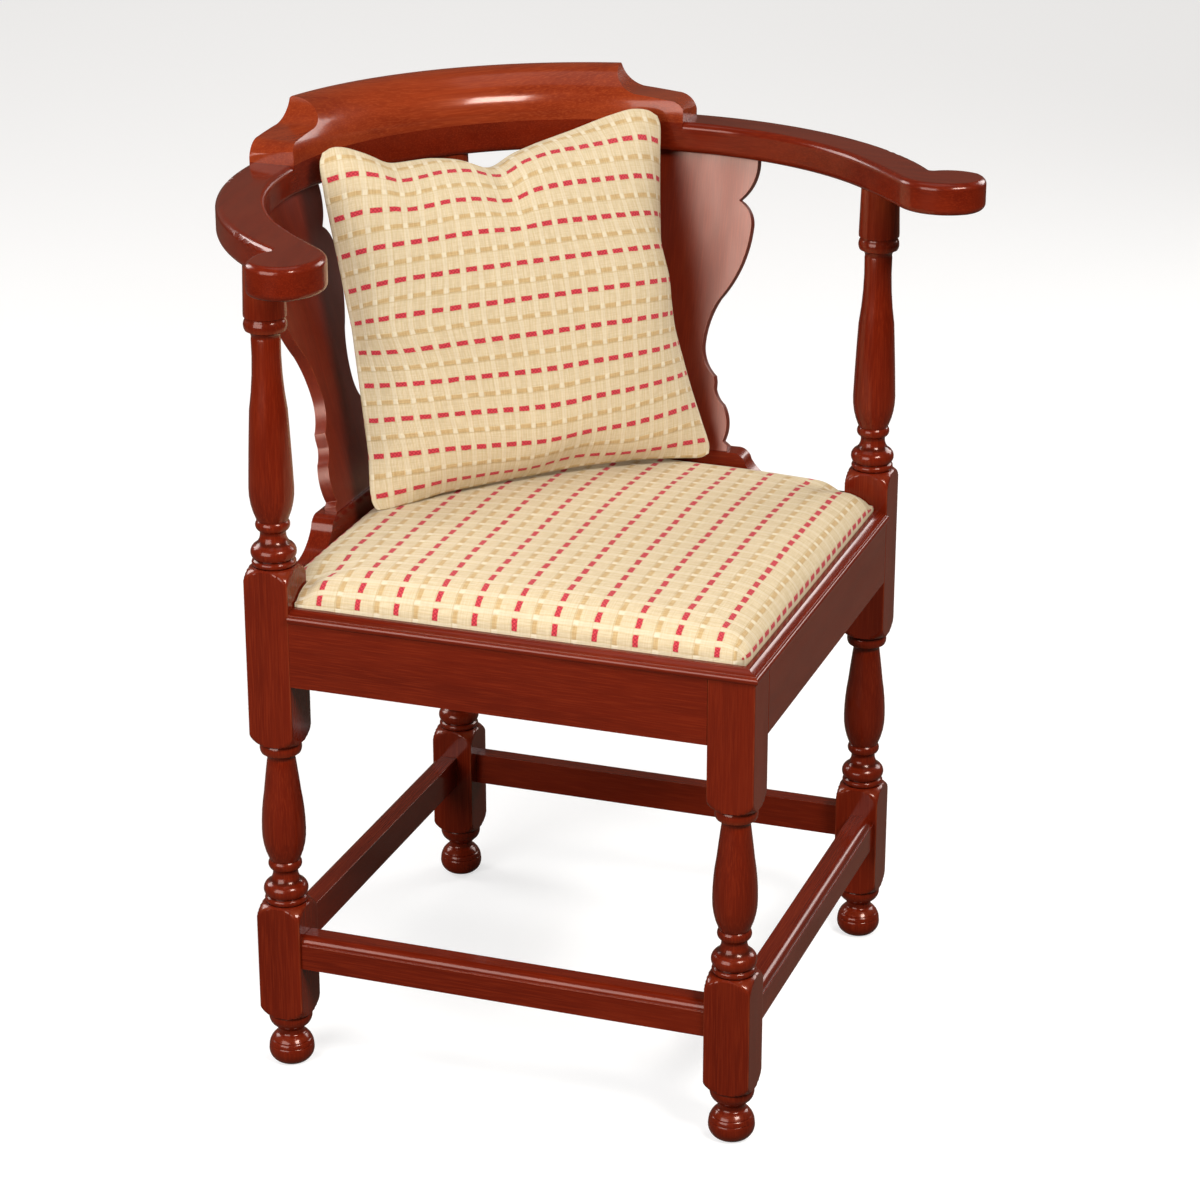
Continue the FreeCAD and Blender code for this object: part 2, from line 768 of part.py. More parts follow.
def crown_share(distance, half):
    """Return the share of the crown's height that is reached at a distance in from an edge."""
    if distance >= crown_round_width:
        left = (half - distance) / (half - crown_round_width)
        return 1 - (1 - crown_round_share) * left ** 2
    left = 1 - distance / crown_round_width
    return 0.03 + (crown_round_share - 0.03) * (1 - left ** 2.4) ** 0.62


def crown_solid(bottom, side_top, crown_top, inset):
    """Make a crowned block that fills the seat opening, smaller all round by an inset."""
    front = front_ledge_line - seat_side_gap - inset
    back = back_ledge_line - seat_side_gap - inset
    low_x, high_x = -back, front
    low_y, high_y = -front, back
    middle = (low_x + high_x) / 2
    half = (high_x - low_x) / 2
    distances = (0.0, crown_round_width * 0.07, crown_round_width * 0.26, crown_round_width * 0.55,
                 crown_round_width, half * 0.3, half * 0.6)
    places = [(-1, distance) for distance in distances] + [(1, half)]
    places += [(1, distance) for distance in reversed(distances)]
    sections = []
    for side, distance in places:
        level = side_top + (crown_top - side_top) * crown_share(distance, half)
        x = middle + side * (half - distance)
        sections.append(crown_section(x, low_y, high_y, bottom, side_top, level))
    return Part.makeLoft(sections, True, False)


def crown_section(x, low_y, high_y, bottom, side_top, level):
    """Make one upright section of the crown: flat base, upright sides and five arcs on top."""
    middle = (low_y + high_y) / 2
    half = (high_y - low_y) / 2
    wide = crown_round_width

    def height(distance):
        """Return the height of the section at a distance in from its edge."""
        return side_top + (level - side_top) * crown_share(distance, half)

    outline = Outline(low_y, bottom, "yz", x)
    outline.line(high_y, bottom)
    outline.line(high_y, height(0.0))
    outline.arc(high_y - wide * 0.07, height(wide * 0.07), high_y - wide * 0.26, height(wide * 0.26))
    outline.arc(high_y - wide * 0.55, height(wide * 0.55), high_y - wide, height(wide))
    outline.arc(middle, level, low_y + wide, height(wide))
    outline.arc(low_y + wide * 0.55, height(wide * 0.55), low_y + wide * 0.26, height(wide * 0.26))
    outline.arc(low_y + wide * 0.07, height(wide * 0.07), low_y, height(0.0))
    return outline.wire()


def seat_levels():
    """Return the heights of the layers of the seat, from the hem up to the crown."""
    hem = seat_ledge_level + seat_rest_gap
    frame = hem + cover_thickness
    webbing = frame + seat_frame_thickness
    pad = webbing + 2 * webbing_thickness
    crown = seat_rim_level + seat_crown_height
    return hem, frame, webbing, pad, crown


def notch_all(solid, gap, bottom, top):
    """Cut the post notches into a seat piece and round its front corner."""
    for notch in post_notches(gap, bottom, top):
        solid = solid.cut(notch)
    return solid


def front_corner_cutter(inset):
    """Make the waste outside the rounded front corner of the seat."""
    corner = front_ledge_line - seat_side_gap - inset
    radius = seat_corner_radius - inset
    far = corner + 10.0
    mid = corner - radius + radius * math.sqrt(0.5)
    outline = Outline(corner, -corner + radius, "xy", seat_ledge_level - 5.0)
    outline.arc(mid, -mid, corner - radius, -corner)
    outline.line(corner - radius, -far)
    outline.line(far, -far)
    outline.line(far, -corner + radius)
    return outline.face().extrude(Vector(0, 0, 80.0))


def seat_filling(bottom, gap):
    """Make what lies inside the seat's cover above a level, smaller all round by a gap."""
    _, _, _, _, crown = seat_levels()
    inset = cover_thickness + gap
    side_top = seat_ledge_level + seat_side_height - gap
    low = seat_ledge_level - 5.0
    solid = crown_solid(bottom, side_top, crown - inset, inset).cut(front_corner_cutter(inset))
    return notch_all(solid, seat_post_gap + inset, low, crown + 10.0)


def seat_cover_solid():
    """Make the fabric cover: a crowned top, upright sides and a hem turned under the frame."""
    hem, frame, _, _, crown = seat_levels()
    side_top = seat_ledge_level + seat_side_height
    outer = crown_solid(hem, side_top, crown, 0.0).cut(front_corner_cutter(0.0))
    outer = notch_all(outer, seat_post_gap, seat_ledge_level - 5.0, crown + 10.0)
    front = front_ledge_line - seat_side_gap - cover_hem_width
    back = back_ledge_line - seat_side_gap - cover_hem_width
    opening = box(-back, front, -front, back, hem - 1.0, frame + 1.0)
    return outer.cut(seat_filling(frame, 0.0)).cut(opening)


def seat_pad_solid():
    """Make the foam pad that fills the cover above the webbing."""
    _, _, _, pad, _ = seat_levels()
    return seat_filling(seat_ledge_level, seat_layer_gap).cut(
        box(-frame_half, frame_half, -frame_half, frame_half, seat_ledge_level - 1.0, pad))


def seat_frame_solids():
    """Make the four rails of the seat frame, half lapped at their corners."""
    _, frame, webbing, _, crown = seat_levels()
    middle = (frame + webbing) / 2
    inset = cover_thickness + 0.1
    front = front_ledge_line - seat_side_gap - inset
    back = back_ledge_line - seat_side_gap - inset
    wide = seat_frame_width
    rails = {}
    rails["front_left"] = box(-back, front, -front, -front + wide, frame, webbing)
    rails["back_right"] = box(-back, front, back - wide, back, frame, webbing)
    rails["front_right"] = box(front - wide, front, -front, back, frame, webbing)
    rails["back_left"] = box(-back, -back + wide, -front, back, frame, webbing)
    lap_low = box(-frame_half, frame_half, -frame_half, frame_half, frame - 1, middle)
    lap_high = box(-frame_half, frame_half, -frame_half, frame_half, middle, webbing + 1)
    long_rails = rails["front_left"].fuse(rails["back_right"])
    short_rails = rails["front_right"].fuse(rails["back_left"])
    result = {}
    for name, rail in rails.items():
        if name in ("front_left", "back_right"):
            lap = short_rails.common(lap_high)
        else:
            lap = long_rails.common(lap_low)
        solid = rail.cut(lap).cut(front_corner_cutter(inset))
        result[name] = notch_all(solid, seat_post_gap + inset, frame - 5.0, crown)
    return result


def webbing_solid():
    """Make the two crossed layers of webbing on the seat frame."""
    _, _, webbing, _, _ = seat_levels()
    inset = cover_thickness + 1.0
    front = front_ledge_line - seat_side_gap - inset
    back = back_ledge_line - seat_side_gap - inset
    middle = (front - back) / 2
    bands = []
    for step in (-1, 0, 1):
        place = step * webbing_pitch
        bands.append(box(-back, front, place - middle - webbing_width / 2,
                         place - middle + webbing_width / 2, webbing, webbing + webbing_thickness))
        bands.append(box(middle + place - webbing_width / 2, middle + place + webbing_width / 2,
                         -front, back, webbing + webbing_thickness, webbing + 2 * webbing_thickness))
    return Part.makeCompound(bands)


def dust_cover_solid():
    """Make the thin cloth under the seat frame, inside the ledges."""
    hem, _, _, _, _ = seat_levels()
    line = rail_inner - dust_cover_margin
    sheet = box(-line, line, -line, line, hem - dust_cover_thickness, hem)
    for x_sign, y_sign in ((-1, -1), (1, 1), (-1, 1), (1, -1)):
        x0, x1 = sorted((x_sign * (block_inner - seat_post_gap), x_sign * frame_half))
        y0, y1 = sorted((y_sign * (block_inner - seat_post_gap), y_sign * frame_half))
        sheet = sheet.cut(box(x0, x1, y0, y1, hem - 5.0, hem + 5.0))
    return sheet


# Pillow


def pillow_body(inset):
    """Make a crowned square pillow in its own frame, X across and Z up, smaller by an inset."""
    half_x = pillow_width / 2 - inset
    half_z = pillow_height / 2 - inset
    middle = pillow_half_thickness - inset
    edge = max(pillow_edge_half - inset, 0.6)
    sections = []
    for share in (-1.0, -0.93, -0.78, -0.55, -0.25, 0.0, 0.25, 0.55, 0.78, 0.93, 1.0):
        thick = edge + (middle - edge) * (0.04 + 0.96 * (1 - abs(share) ** 2.2) ** 0.72)
        x = share * (half_x + 1.0)
        reach = half_z + 1.0
        near = (edge + (thick - edge) * 0.62)
        section = Outline(edge, -reach, "yz", x)
        section.arc(near, -reach * 0.66, thick * 0.985 + 0.01, -reach * 0.25)
        section.arc(thick, 0.0, thick * 0.985 + 0.01, reach * 0.25)
        section.arc(near, reach * 0.66, edge, reach)
        section.line(-edge, reach)
        section.arc(-near, reach * 0.66, -thick * 0.985 - 0.01, reach * 0.25)
        section.arc(-thick, 0.0, -thick * 0.985 - 0.01, -reach * 0.25)
        section.arc(-near, -reach * 0.66, -edge, -reach)
        sections.append(section.wire())
    crowned = Part.makeLoft(sections, True, False)
    return crowned.common(pillow_outline(half_x, half_z))


def pillow_outline(half_x, half_z):
    """Make the prism of the pillow's drawn-in outline, with two dips along its top edge."""
    side = half_x - pillow_side_draw
    crest = half_z - pillow_top_draw + pillow_top_bulge
    outline = Outline(-half_x, -half_z, "xz", -pillow_half_thickness * 2)
    outline.arc(0, -half_z + pillow_foot_draw, half_x, -half_z)
    outline.arc(side, 0, half_x, half_z)
    outline.arc(half_x * 0.42, half_z - pillow_top_draw, 0, crest)
    outline.arc(-half_x * 0.42, half_z - pillow_top_draw, -half_x, half_z)
    outline.arc(-side, 0, -half_x, -half_z)
    return outline.face().extrude(Vector(0, pillow_half_thickness * 4, 0))


def place_pillow(shape):
    """Lean the pillow back on the crest rail and stand it on the seat."""
    shape = shape.copy()
    shape.translate(Vector(0, 0, pillow_height / 2))
    shape.rotate(ORIGIN, Vector(1, 0, 0), -pillow_lean)
    shape.translate(Vector(pillow_shift, pillow_foot_y, pillow_foot_level))
    return shape


# Build every piece


def build_frame():
    """Write the legs, rails, mouldings, stretchers, corner blocks and their screws."""
    for place in LEG_PLACES:
        save("leg_" + place, leg_solid(place))
    bores = rail_bores()
    for side, angle in SIDE_ANGLES.items():
        rail = front_rail_solid() if side in FRONT_SIDES else back_rail_solid()
        save("seat_rail_" + side, turn_to(rail.cut(bores), angle))
        save("stretcher_" + side, turn_to(stretcher_solid(), angle))
    moulding = moulding_solid()
    left = turn_to(moulding, SIDE_ANGLES["front_left"])
    save("seat_moulding_left", left)
    save("seat_moulding_right", mirrored(left))
    corner_of_side = {"front_left": "front", "front_right": "right",
                      "back_right": "back", "back_left": "left"}
    screws = []
    for side, corner in corner_of_side.items():
        angle = SIDE_ANGLES[side]
        save("corner_block_" + corner, turn_to(corner_block_solid(), angle))
        screws += [turn_to(screw, angle) for screw in corner_screws()]
    save("corner_block_screws", Part.makeCompound(screws))


def build_back():
    """Write the splats, shoes, arms, crest rail and its screws."""
    for side in BACK_SIDES:
        angle = SIDE_ANGLES[side]
        hand = side.split("_")[1]
        save("splat_" + hand, turn_to(splat_board(), angle))
        save("splat_shoe_" + hand, turn_to(shoe_solid(), angle))
    arm = arm_solid()
    save("arm_right", arm)
    save("arm_left", mirrored(arm))
    save("crest_rail", crest_solid())
    save("crest_screws", crest_screws())


def build_seat():
    """Write the pieces of the drop-in seat."""
    turn = SIDE_ANGLES["front_left"]
    save("seat_cover", turn_to(seat_cover_solid(), turn))
    save("seat_pad", turn_to(seat_pad_solid(), turn))
    for name, rail in seat_frame_solids().items():
        save("seat_frame_" + name, turn_to(rail, turn))
    save("seat_webbing", turn_to(webbing_solid(), turn))
    save("seat_dust_cover", turn_to(dust_cover_solid(), turn))


def build_pillow():
    """Write the pillow's cover and its insert."""
    shell = pillow_body(0.0).cut(pillow_body(pillow_shell))
    save("pillow_cover", place_pillow(shell))
    save("pillow_insert", place_pillow(pillow_body(pillow_shell + 0.1)))


os.makedirs("parts", exist_ok=True)
build_frame()
build_back()
build_seat()
build_pillow()
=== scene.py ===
"""The finished look of a corner chair: lacquered wood frame, striped drop-in seat and loose pillow."""

import logging
import math
from contextlib import contextmanager
from dataclasses import dataclass
from enum import Enum
from typing import Callable, Iterator, Optional, Sequence, Union

import bmesh
import bpy
import numpy as np
from mathutils import Matrix, Vector


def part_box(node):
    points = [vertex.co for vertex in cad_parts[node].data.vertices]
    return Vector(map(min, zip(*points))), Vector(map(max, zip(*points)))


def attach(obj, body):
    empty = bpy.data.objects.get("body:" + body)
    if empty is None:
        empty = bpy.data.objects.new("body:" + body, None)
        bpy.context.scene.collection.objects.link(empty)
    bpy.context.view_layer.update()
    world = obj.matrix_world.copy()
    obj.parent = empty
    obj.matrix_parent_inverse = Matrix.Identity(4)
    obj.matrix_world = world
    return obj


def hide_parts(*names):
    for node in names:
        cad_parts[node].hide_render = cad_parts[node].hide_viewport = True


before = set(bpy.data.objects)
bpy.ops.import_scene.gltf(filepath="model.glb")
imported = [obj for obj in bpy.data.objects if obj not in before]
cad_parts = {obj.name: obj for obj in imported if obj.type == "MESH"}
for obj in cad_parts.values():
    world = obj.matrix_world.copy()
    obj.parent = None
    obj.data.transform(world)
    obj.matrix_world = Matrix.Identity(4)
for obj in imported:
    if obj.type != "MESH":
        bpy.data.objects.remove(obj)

LOG = logging.getLogger("corner_chair")
MM = 0.001
TINY = 1e-9
GRAIN, ARRIS, GROOVE, WEAVE = "grain_place", "arris", "groove", "weave"
PLACES = ("front", "left", "right", "back")
ACROSS = Vector((1.0, 0.0, 0.0))
UP = Vector((0.0, 0.0, 1.0))
WHITE = (1.0, 1.0, 1.0, 1.0)
Socket = bpy.types.NodeSocket
Feed = Union[Socket, float, Sequence[float]]


class Side(Enum):
    """The four sides of the seat square, each with its turn about Z in degrees."""

    FRONT_LEFT = -45.0
    FRONT_RIGHT = 45.0
    BACK_RIGHT = 135.0
    BACK_LEFT = 225.0

    @property
    def tag(self) -> str:
        """Return the side's name as the nodes spell it."""
        return self.name.lower()

    @property
    def along(self) -> Vector:
        """Return the direction in which the side's rails run."""
        return Vector((math.cos(math.radians(self.value)), math.sin(math.radians(self.value)), 0.0))

    @property
    def outward(self) -> Vector:
        """Return the direction that the side faces."""
        return Vector((self.along.y, -self.along.x, 0.0))


class Body(Enum):
    """The bodies that the pieces ride on."""

    FRAME = "chair_frame"
    SEAT = "drop_in_seat"
    PILLOW = "loose_pillow"


def smooth_step(low: float, high: float, value: np.ndarray) -> np.ndarray:
    """Rise smoothly from 0 at low to 1 at high."""
    share = np.clip((value - low) / (high - low), 0.0, 1.0)
    return share * share * (3.0 - 2.0 * share)


def waves(place: np.ndarray, seed: int, count: int, scale: float) -> np.ndarray:
    """Add up seeded sine waves into a gentle unevenness.

    Args:
        place: The points, one row each.
        seed: The seed of the random draws.
        count: How many waves are added.
        scale: The typical wavelength in metres.

    Returns:
        One value for each point, about from -1 to 1.
    """
    draw = np.random.default_rng(seed)
    total = np.zeros(len(place))
    for _ in range(count):
        direction = draw.normal(size=place.shape[1])
        direction /= np.linalg.norm(direction)
        pitch = scale * draw.uniform(0.6, 1.7)
        total += np.sin(place @ direction * math.tau / pitch + draw.uniform(0.0, math.tau))
    return total / math.sqrt(count) * 0.75


class Wiring:
    """Places nodes in one tree and links them."""

    def __init__(self, tree: bpy.types.NodeTree) -> None:
        """Start with the tree of a material, a world or a group."""
        self.tree = tree

    def feed(self, socket: Socket, value: Feed) -> None:
        """Link a socket to another, or set its value.

        Args:
            socket: The input to fill.
            value: A socket to link from, or a value to set.
        """
        if isinstance(value, bpy.types.NodeSocket):
            self.tree.links.new(value, socket)
        else:
            socket.default_value = value

    def node(self, kind: str, inputs: Optional[dict] = None, **settings: object) -> bpy.types.Node:
        """Add a node.

        Args:
            kind: The node's type name, after the usual ShaderNode.
            inputs: What goes into its inputs, by name or number.
            settings: The node's own settings.

        Returns:
            The new node.
        """
        made = self.tree.nodes.new(kind if kind.startswith("NodeGroup") else "ShaderNode" + kind)
        for name, value in settings.items():
            setattr(made, name, value)
        for name, value in (inputs or {}).items():
            self.feed(made.inputs[name], value)
        return made

    def math(self, operation: str, *values: Feed, clamp: bool = False) -> Socket:
        """Do one sum on numbers, held between 0 and 1 if it is clamped."""
        made = self.node("Math", dict(enumerate(values)), operation=operation, use_clamp=clamp)
        return made.outputs[0]

    def times(self, first: Feed, second: Feed) -> Socket:
        """Multiply two numbers."""
        return self.math("MULTIPLY", first, second)

    def plus(self, first: Feed, second: Feed) -> Socket:
        """Add two numbers."""
        return self.math("ADD", first, second)

    def vector(self, operation: str, first: Feed, second: Feed) -> Socket:
        """Do one sum on vectors."""
        return self.node("VectorMath", {0: first, 1: second}, operation=operation).outputs[0]

    def ramp(self, value: Feed, low: float, high: float, bottom: float = 0.0, top: float = 1.0) -> Socket:
        """Map the numbers from low to high smoothly to those from bottom to top."""
        inputs = dict(enumerate((value, low, high, bottom, top)))
        return self.node("MapRange", inputs, interpolation_type="SMOOTHSTEP").outputs[0]

    def mix(self, share: Feed, first: Feed, second: Feed) -> Socket:
        """Mix a share of the second colour into the first."""
        return self.node("Mix", {0: share, 6: first, 7: second}, data_type="RGBA").outputs[2]

    def noise(self, place: Feed, scale: Sequence[float], detail: float = 2.0) -> Socket:
        """Read noise with so many features to a metre along X, Y and Z."""
        spread = self.vector("MULTIPLY", place, scale)
        return self.node("TexNoise", {"Vector": spread, "Scale": 1.0, "Detail": detail}).outputs[0]

    def attribute(self, name: str, output: str) -> Socket:
        """Read an attribute of the mesh."""
        return self.node("Attribute", attribute_name=name).outputs[output]

    def bump(self, height: Feed, strength: float, depth: float) -> Socket:
        """Turn a height into a normal."""
        return self.node("Bump", {"Strength": strength, "Distance": depth, "Height": height}).outputs[0]

    def group(self, effect: "Effect", **inputs: Feed) -> dict:
        """Place a shared effect and return its outputs by name."""
        return dict(self.node("Group", inputs, node_tree=effect.tree).outputs.items())

    def surface(self, kind: str, seen: Socket, cast: Socket) -> None:
        """Show one shader to the camera and another to all other rays, as a material or a world."""
        chosen = {0: self.node("LightPath").outputs["Is Camera Ray"], 1: cast, 2: seen}
        self.node(kind, {"Surface": self.node("MixShader", chosen).outputs[0]})


def emptied(holder: Union[bpy.types.Material, bpy.types.World]) -> Wiring:
    """Empty the node tree of a new material or world.

    Args:
        holder: The material or world.

    Returns:
        The wiring of its tree.
    """
    holder.use_nodes = True
    holder.node_tree.nodes.clear()
    return Wiring(holder.node_tree)


@dataclass(frozen=True)
class Effect:
    """A shared effect, kept as one shader node group. Inputs and outputs give each socket's kind."""

    name: str
    inputs: dict
    outputs: dict
    fill: Callable[[Wiring, dict], dict]

    @property
    def tree(self) -> bpy.types.NodeTree:
        """Return the group's tree, which is built at its first use.

        Returns:
            The tree.
        """
        if self.name in bpy.data.node_groups:
            return bpy.data.node_groups[self.name]
        tree = bpy.data.node_groups.new(self.name, "ShaderNodeTree")
        for direction, sockets in (("INPUT", self.inputs), ("OUTPUT", self.outputs)):
            for label, kind in sockets.items():
                tree.interface.new_socket(label, in_out=direction, socket_type="NodeSocket" + kind)
        w = Wiring(tree)
        source, target = w.node("NodeGroupInput"), w.node("NodeGroupOutput")
        for label, socket in self.fill(w, {label: source.outputs[label] for label in self.inputs}).items():
            w.feed(target.inputs[label], socket)
        return tree


def draw_grain(w: Wiring, given: dict) -> dict:
    """Draw straight grain with pores and broad figure along X.

    Args:
        w: The group's wiring.
        given: The group's inputs.

    Returns:
        The group's outputs.
    """
    place = given["Place"]
    broad = w.noise(place, (2.5, 22.0, 22.0), 2.0)
    streak = w.noise(place, (9.0, 190.0, 190.0), 3.0)
    fine = w.noise(place, (30.0, 900.0, 900.0), 2.0)
    pore = w.noise(place, (95.0, 1500.0, 1500.0), 1.0)
    flame = w.noise(place, (14.0, 40.0, 40.0), 1.0)
    tone = w.plus(w.times(w.ramp(broad, 0.3, 0.7), 0.6), w.times(w.ramp(streak, 0.3, 0.72), 0.4))
    dark = w.mix(tone, given["Deep"], given["Middle"])
    lit = w.mix(w.times(w.ramp(fine, 0.42, 0.75), 0.45), dark, given["Light"])
    shimmer = w.mix(w.times(w.ramp(flame, 0.5, 0.8), 0.16), lit, given["Light"])
    pores = w.ramp(pore, 0.62, 0.74)
    height = w.math("SUBTRACT", w.times(fine, 0.4), w.times(pores, 0.6))
    return {"Color": w.mix(w.times(pores, 0.4), shimmer, given["Deep"]), "Height": height, "Tone": tone}


def rub_edges_with_highlight_and_shade(w: Wiring, given: dict) -> dict:
    """Lighten the arrises, partly a rubbed finish and partly a painted highlight, and paint shade into the
    grooves and inner corners.

    Args:
        w: The group's wiring.
        given: The group's inputs.

    Returns:
        The group's outputs.
    """
    patch = w.noise(given["Place"], (45.0, 45.0, 45.0), 3.0)
    # Arrises: a lighter colour, partly a rubbed finish and partly a painted highlight.
    rubbed = w.times(given["Arris"], w.ramp(patch, 0.35, 0.65, 0.35, 1.0))
    rubbed_and_highlit = w.mix(w.times(rubbed, given["Rub"]), given["Color"], given["Worn"])
    # Grooves and inner corners: painted shade.
    painted_shade_mask = w.math("MULTIPLY", given["Groove"], given["Glaze"], clamp=True)
    return {"Color": w.mix(painted_shade_mask, rubbed_and_highlit, given["Dark"])}


def cross_threads(w: Wiring, given: dict) -> dict:
    """Cross plain threads: their height and a tone for each.

    Args:
        w: The group's wiring.
        given: The group's inputs.

    Returns:
        The group's outputs.
    """
    parts = w.node("SeparateXYZ", {0: given["Place"]}).outputs
    warp = w.math("SINE", w.times(parts[0], given["Warp"]))
    weft = w.math("SINE", w.times(parts[1], given["Weft"]))
    slub = w.noise(given["Place"], (700.0, 60.0, 1.0), 2.0)
    fleck = w.noise(given["Place"], (60.0, 900.0, 1.0), 2.0)
    return {"Height": w.plus(w.times(warp, 0.5), w.times(weft, 0.35)),
            "Tone": w.plus(w.times(slub, 0.6), w.times(fleck, 0.4))}


WOOD_FIGURE = Effect("wood_figure", {"Place": "Vector", "Deep": "Color", "Middle": "Color", "Light": "Color"},
                     {"Color": "Color", "Height": "Float", "Tone": "Float"}, draw_grain)
# Arrises lightened, partly rubbed and partly a painted highlight; grooves and inner corners darkened with
# painted shade.
RUBBED_HIGHLIT_SHADED_EDGES = Effect("handled_edges",
                       {"Place": "Vector", "Color": "Color", "Worn": "Color", "Dark": "Color",
                        "Arris": "Float", "Groove": "Float", "Rub": "Float", "Glaze": "Float"},
                       {"Color": "Color"}, rub_edges_with_highlight_and_shade)
CLOTH_THREADS = Effect("cloth_threads", {"Place": "Vector", "Warp": "Float", "Weft": "Float"},
                       {"Height": "Float", "Tone": "Float"}, cross_threads)


@dataclass(frozen=True)
class Finish:
    """A named surface finish that is made into one material."""

    name: str

    def inputs(self, w: Wiring) -> dict:
        """Make the finish's nodes and return what goes into its shader, by input name."""
        raise NotImplementedError

    @property
    def material(self) -> bpy.types.Material:
        """Return the finish's material, which is made at its first use.

        Returns:
            The material.
        """
        if self.name not in bpy.data.materials:
            w = emptied(bpy.data.materials.new(self.name))
            w.node("OutputMaterial", {"Surface": w.node("BsdfPrincipled", self.inputs(w)).outputs[0]})
        return bpy.data.materials[self.name]


@dataclass(frozen=True)
class Lacquer(Finish):
    """Red-brown stained wood under a satin lacquer."""

    deep: tuple = (0.088, 0.0060, 0.0017, 1.0)
    middle: tuple = (0.130, 0.0098, 0.0024, 1.0)
    light: tuple = (0.196, 0.0210, 0.0054, 1.0)
    # Arris colour and its share: partly a rubbed finish, partly a painted highlight. The dark colour and the
    # groove share: painted shade in grooves and inner corners.
    worn: tuple = (0.330, 0.075, 0.025, 1.0)
    dark: tuple = (0.012, 0.002, 0.001, 1.0)
    rub: float = 0.40
    glaze: float = 0.9
    roughness: float = 0.21
    specular: float = 0.25
    specular_tint: tuple = (1.0, 0.50, 0.36, 1.0)
    coat: float = 0.28
    coat_roughness: float = 0.10
    pore_depth: float = 0.06 * MM

    def inputs(self, w: Wiring) -> dict:
        """Make grain, arrises lightened partly by rubbing and partly as a painted highlight, and painted
        shade in the grooves, under a lacquer coat.

        Args:
            w: The material's wiring.

        Returns:
            What goes into the shader, by input name.
        """
        place = w.attribute(GRAIN, "Vector")
        figure = w.group(WOOD_FIGURE, Place=place, Deep=self.deep, Middle=self.middle, Light=self.light)
        edges = w.group(RUBBED_HIGHLIT_SHADED_EDGES, Place=place, Color=figure["Color"], Worn=self.worn, Dark=self.dark,
                        Arris=w.attribute(ARRIS, "Fac"), Groove=w.attribute(GROOVE, "Fac"),
                        Rub=self.rub, Glaze=self.glaze)
        smear = w.noise(place, (12.0, 35.0, 35.0), 3.0)
        return {"Base Color": edges["Color"], "Normal": w.bump(figure["Height"], 0.35, self.pore_depth),
                "Roughness": w.ramp(smear, 0.3, 0.7, self.roughness - 0.04, self.roughness + 0.05),
                "Specular IOR Level": self.specular, "Specular Tint": self.specular_tint,
                "Coat Weight": self.coat, "Coat Roughness": self.coat_roughness}


@dataclass(frozen=True)
class RawWood(Finish):
    """Plain sawn wood of the hidden blocks and frame rails."""

    deep: tuple = (0.240, 0.120, 0.055, 1.0)
    middle: tuple = (0.400, 0.230, 0.115, 1.0)
    light: tuple = (0.560, 0.360, 0.200, 1.0)
    fibre_depth: float = 0.2 * MM

    def inputs(self, w: Wiring) -> dict:
        """Make unfinished grain.

        Args:
            w: The material's wiring.

        Returns:
            What goes into the shader, by input name.
        """
        place = w.node("TexCoord").outputs["Object"]
        figure = w.group(WOOD_FIGURE, Place=place, Deep=self.deep, Middle=self.middle, Light=self.light)
        return {"Base Color": figure["Color"], "Roughness": w.ramp(figure["Tone"], 0.0, 1.0, 0.62, 0.78),
                "Normal": w.bump(figure["Height"], 0.6, self.fibre_depth)}


@dataclass(frozen=True)
class PlainCloth(Finish):
    """A plain woven cloth, such as webbing or the lining under the seat."""

    dark: tuple = (0.020, 0.018, 0.016, 1.0)
    light: tuple = (0.050, 0.046, 0.042, 1.0)
    threads: float = 5200.0
    depth: float = 0.2 * MM

    def inputs(self, w: Wiring) -> dict:
        """Make crossing threads.

        Args:
            w: The material's wiring.

        Returns:
            What goes into the shader, by input name.
        """
        place = w.node("TexCoord").outputs["Object"]
        cloth = w.group(CLOTH_THREADS, Place=place, Warp=self.threads, Weft=self.threads)
        return {"Base Color": w.mix(w.ramp(cloth["Tone"], 0.3, 0.7), self.dark, self.light),
                "Roughness": w.ramp(cloth["Tone"], 0.0, 1.0, 0.85, 0.95),
                "Normal": w.bump(cloth["Height"], 0.7, self.depth)}


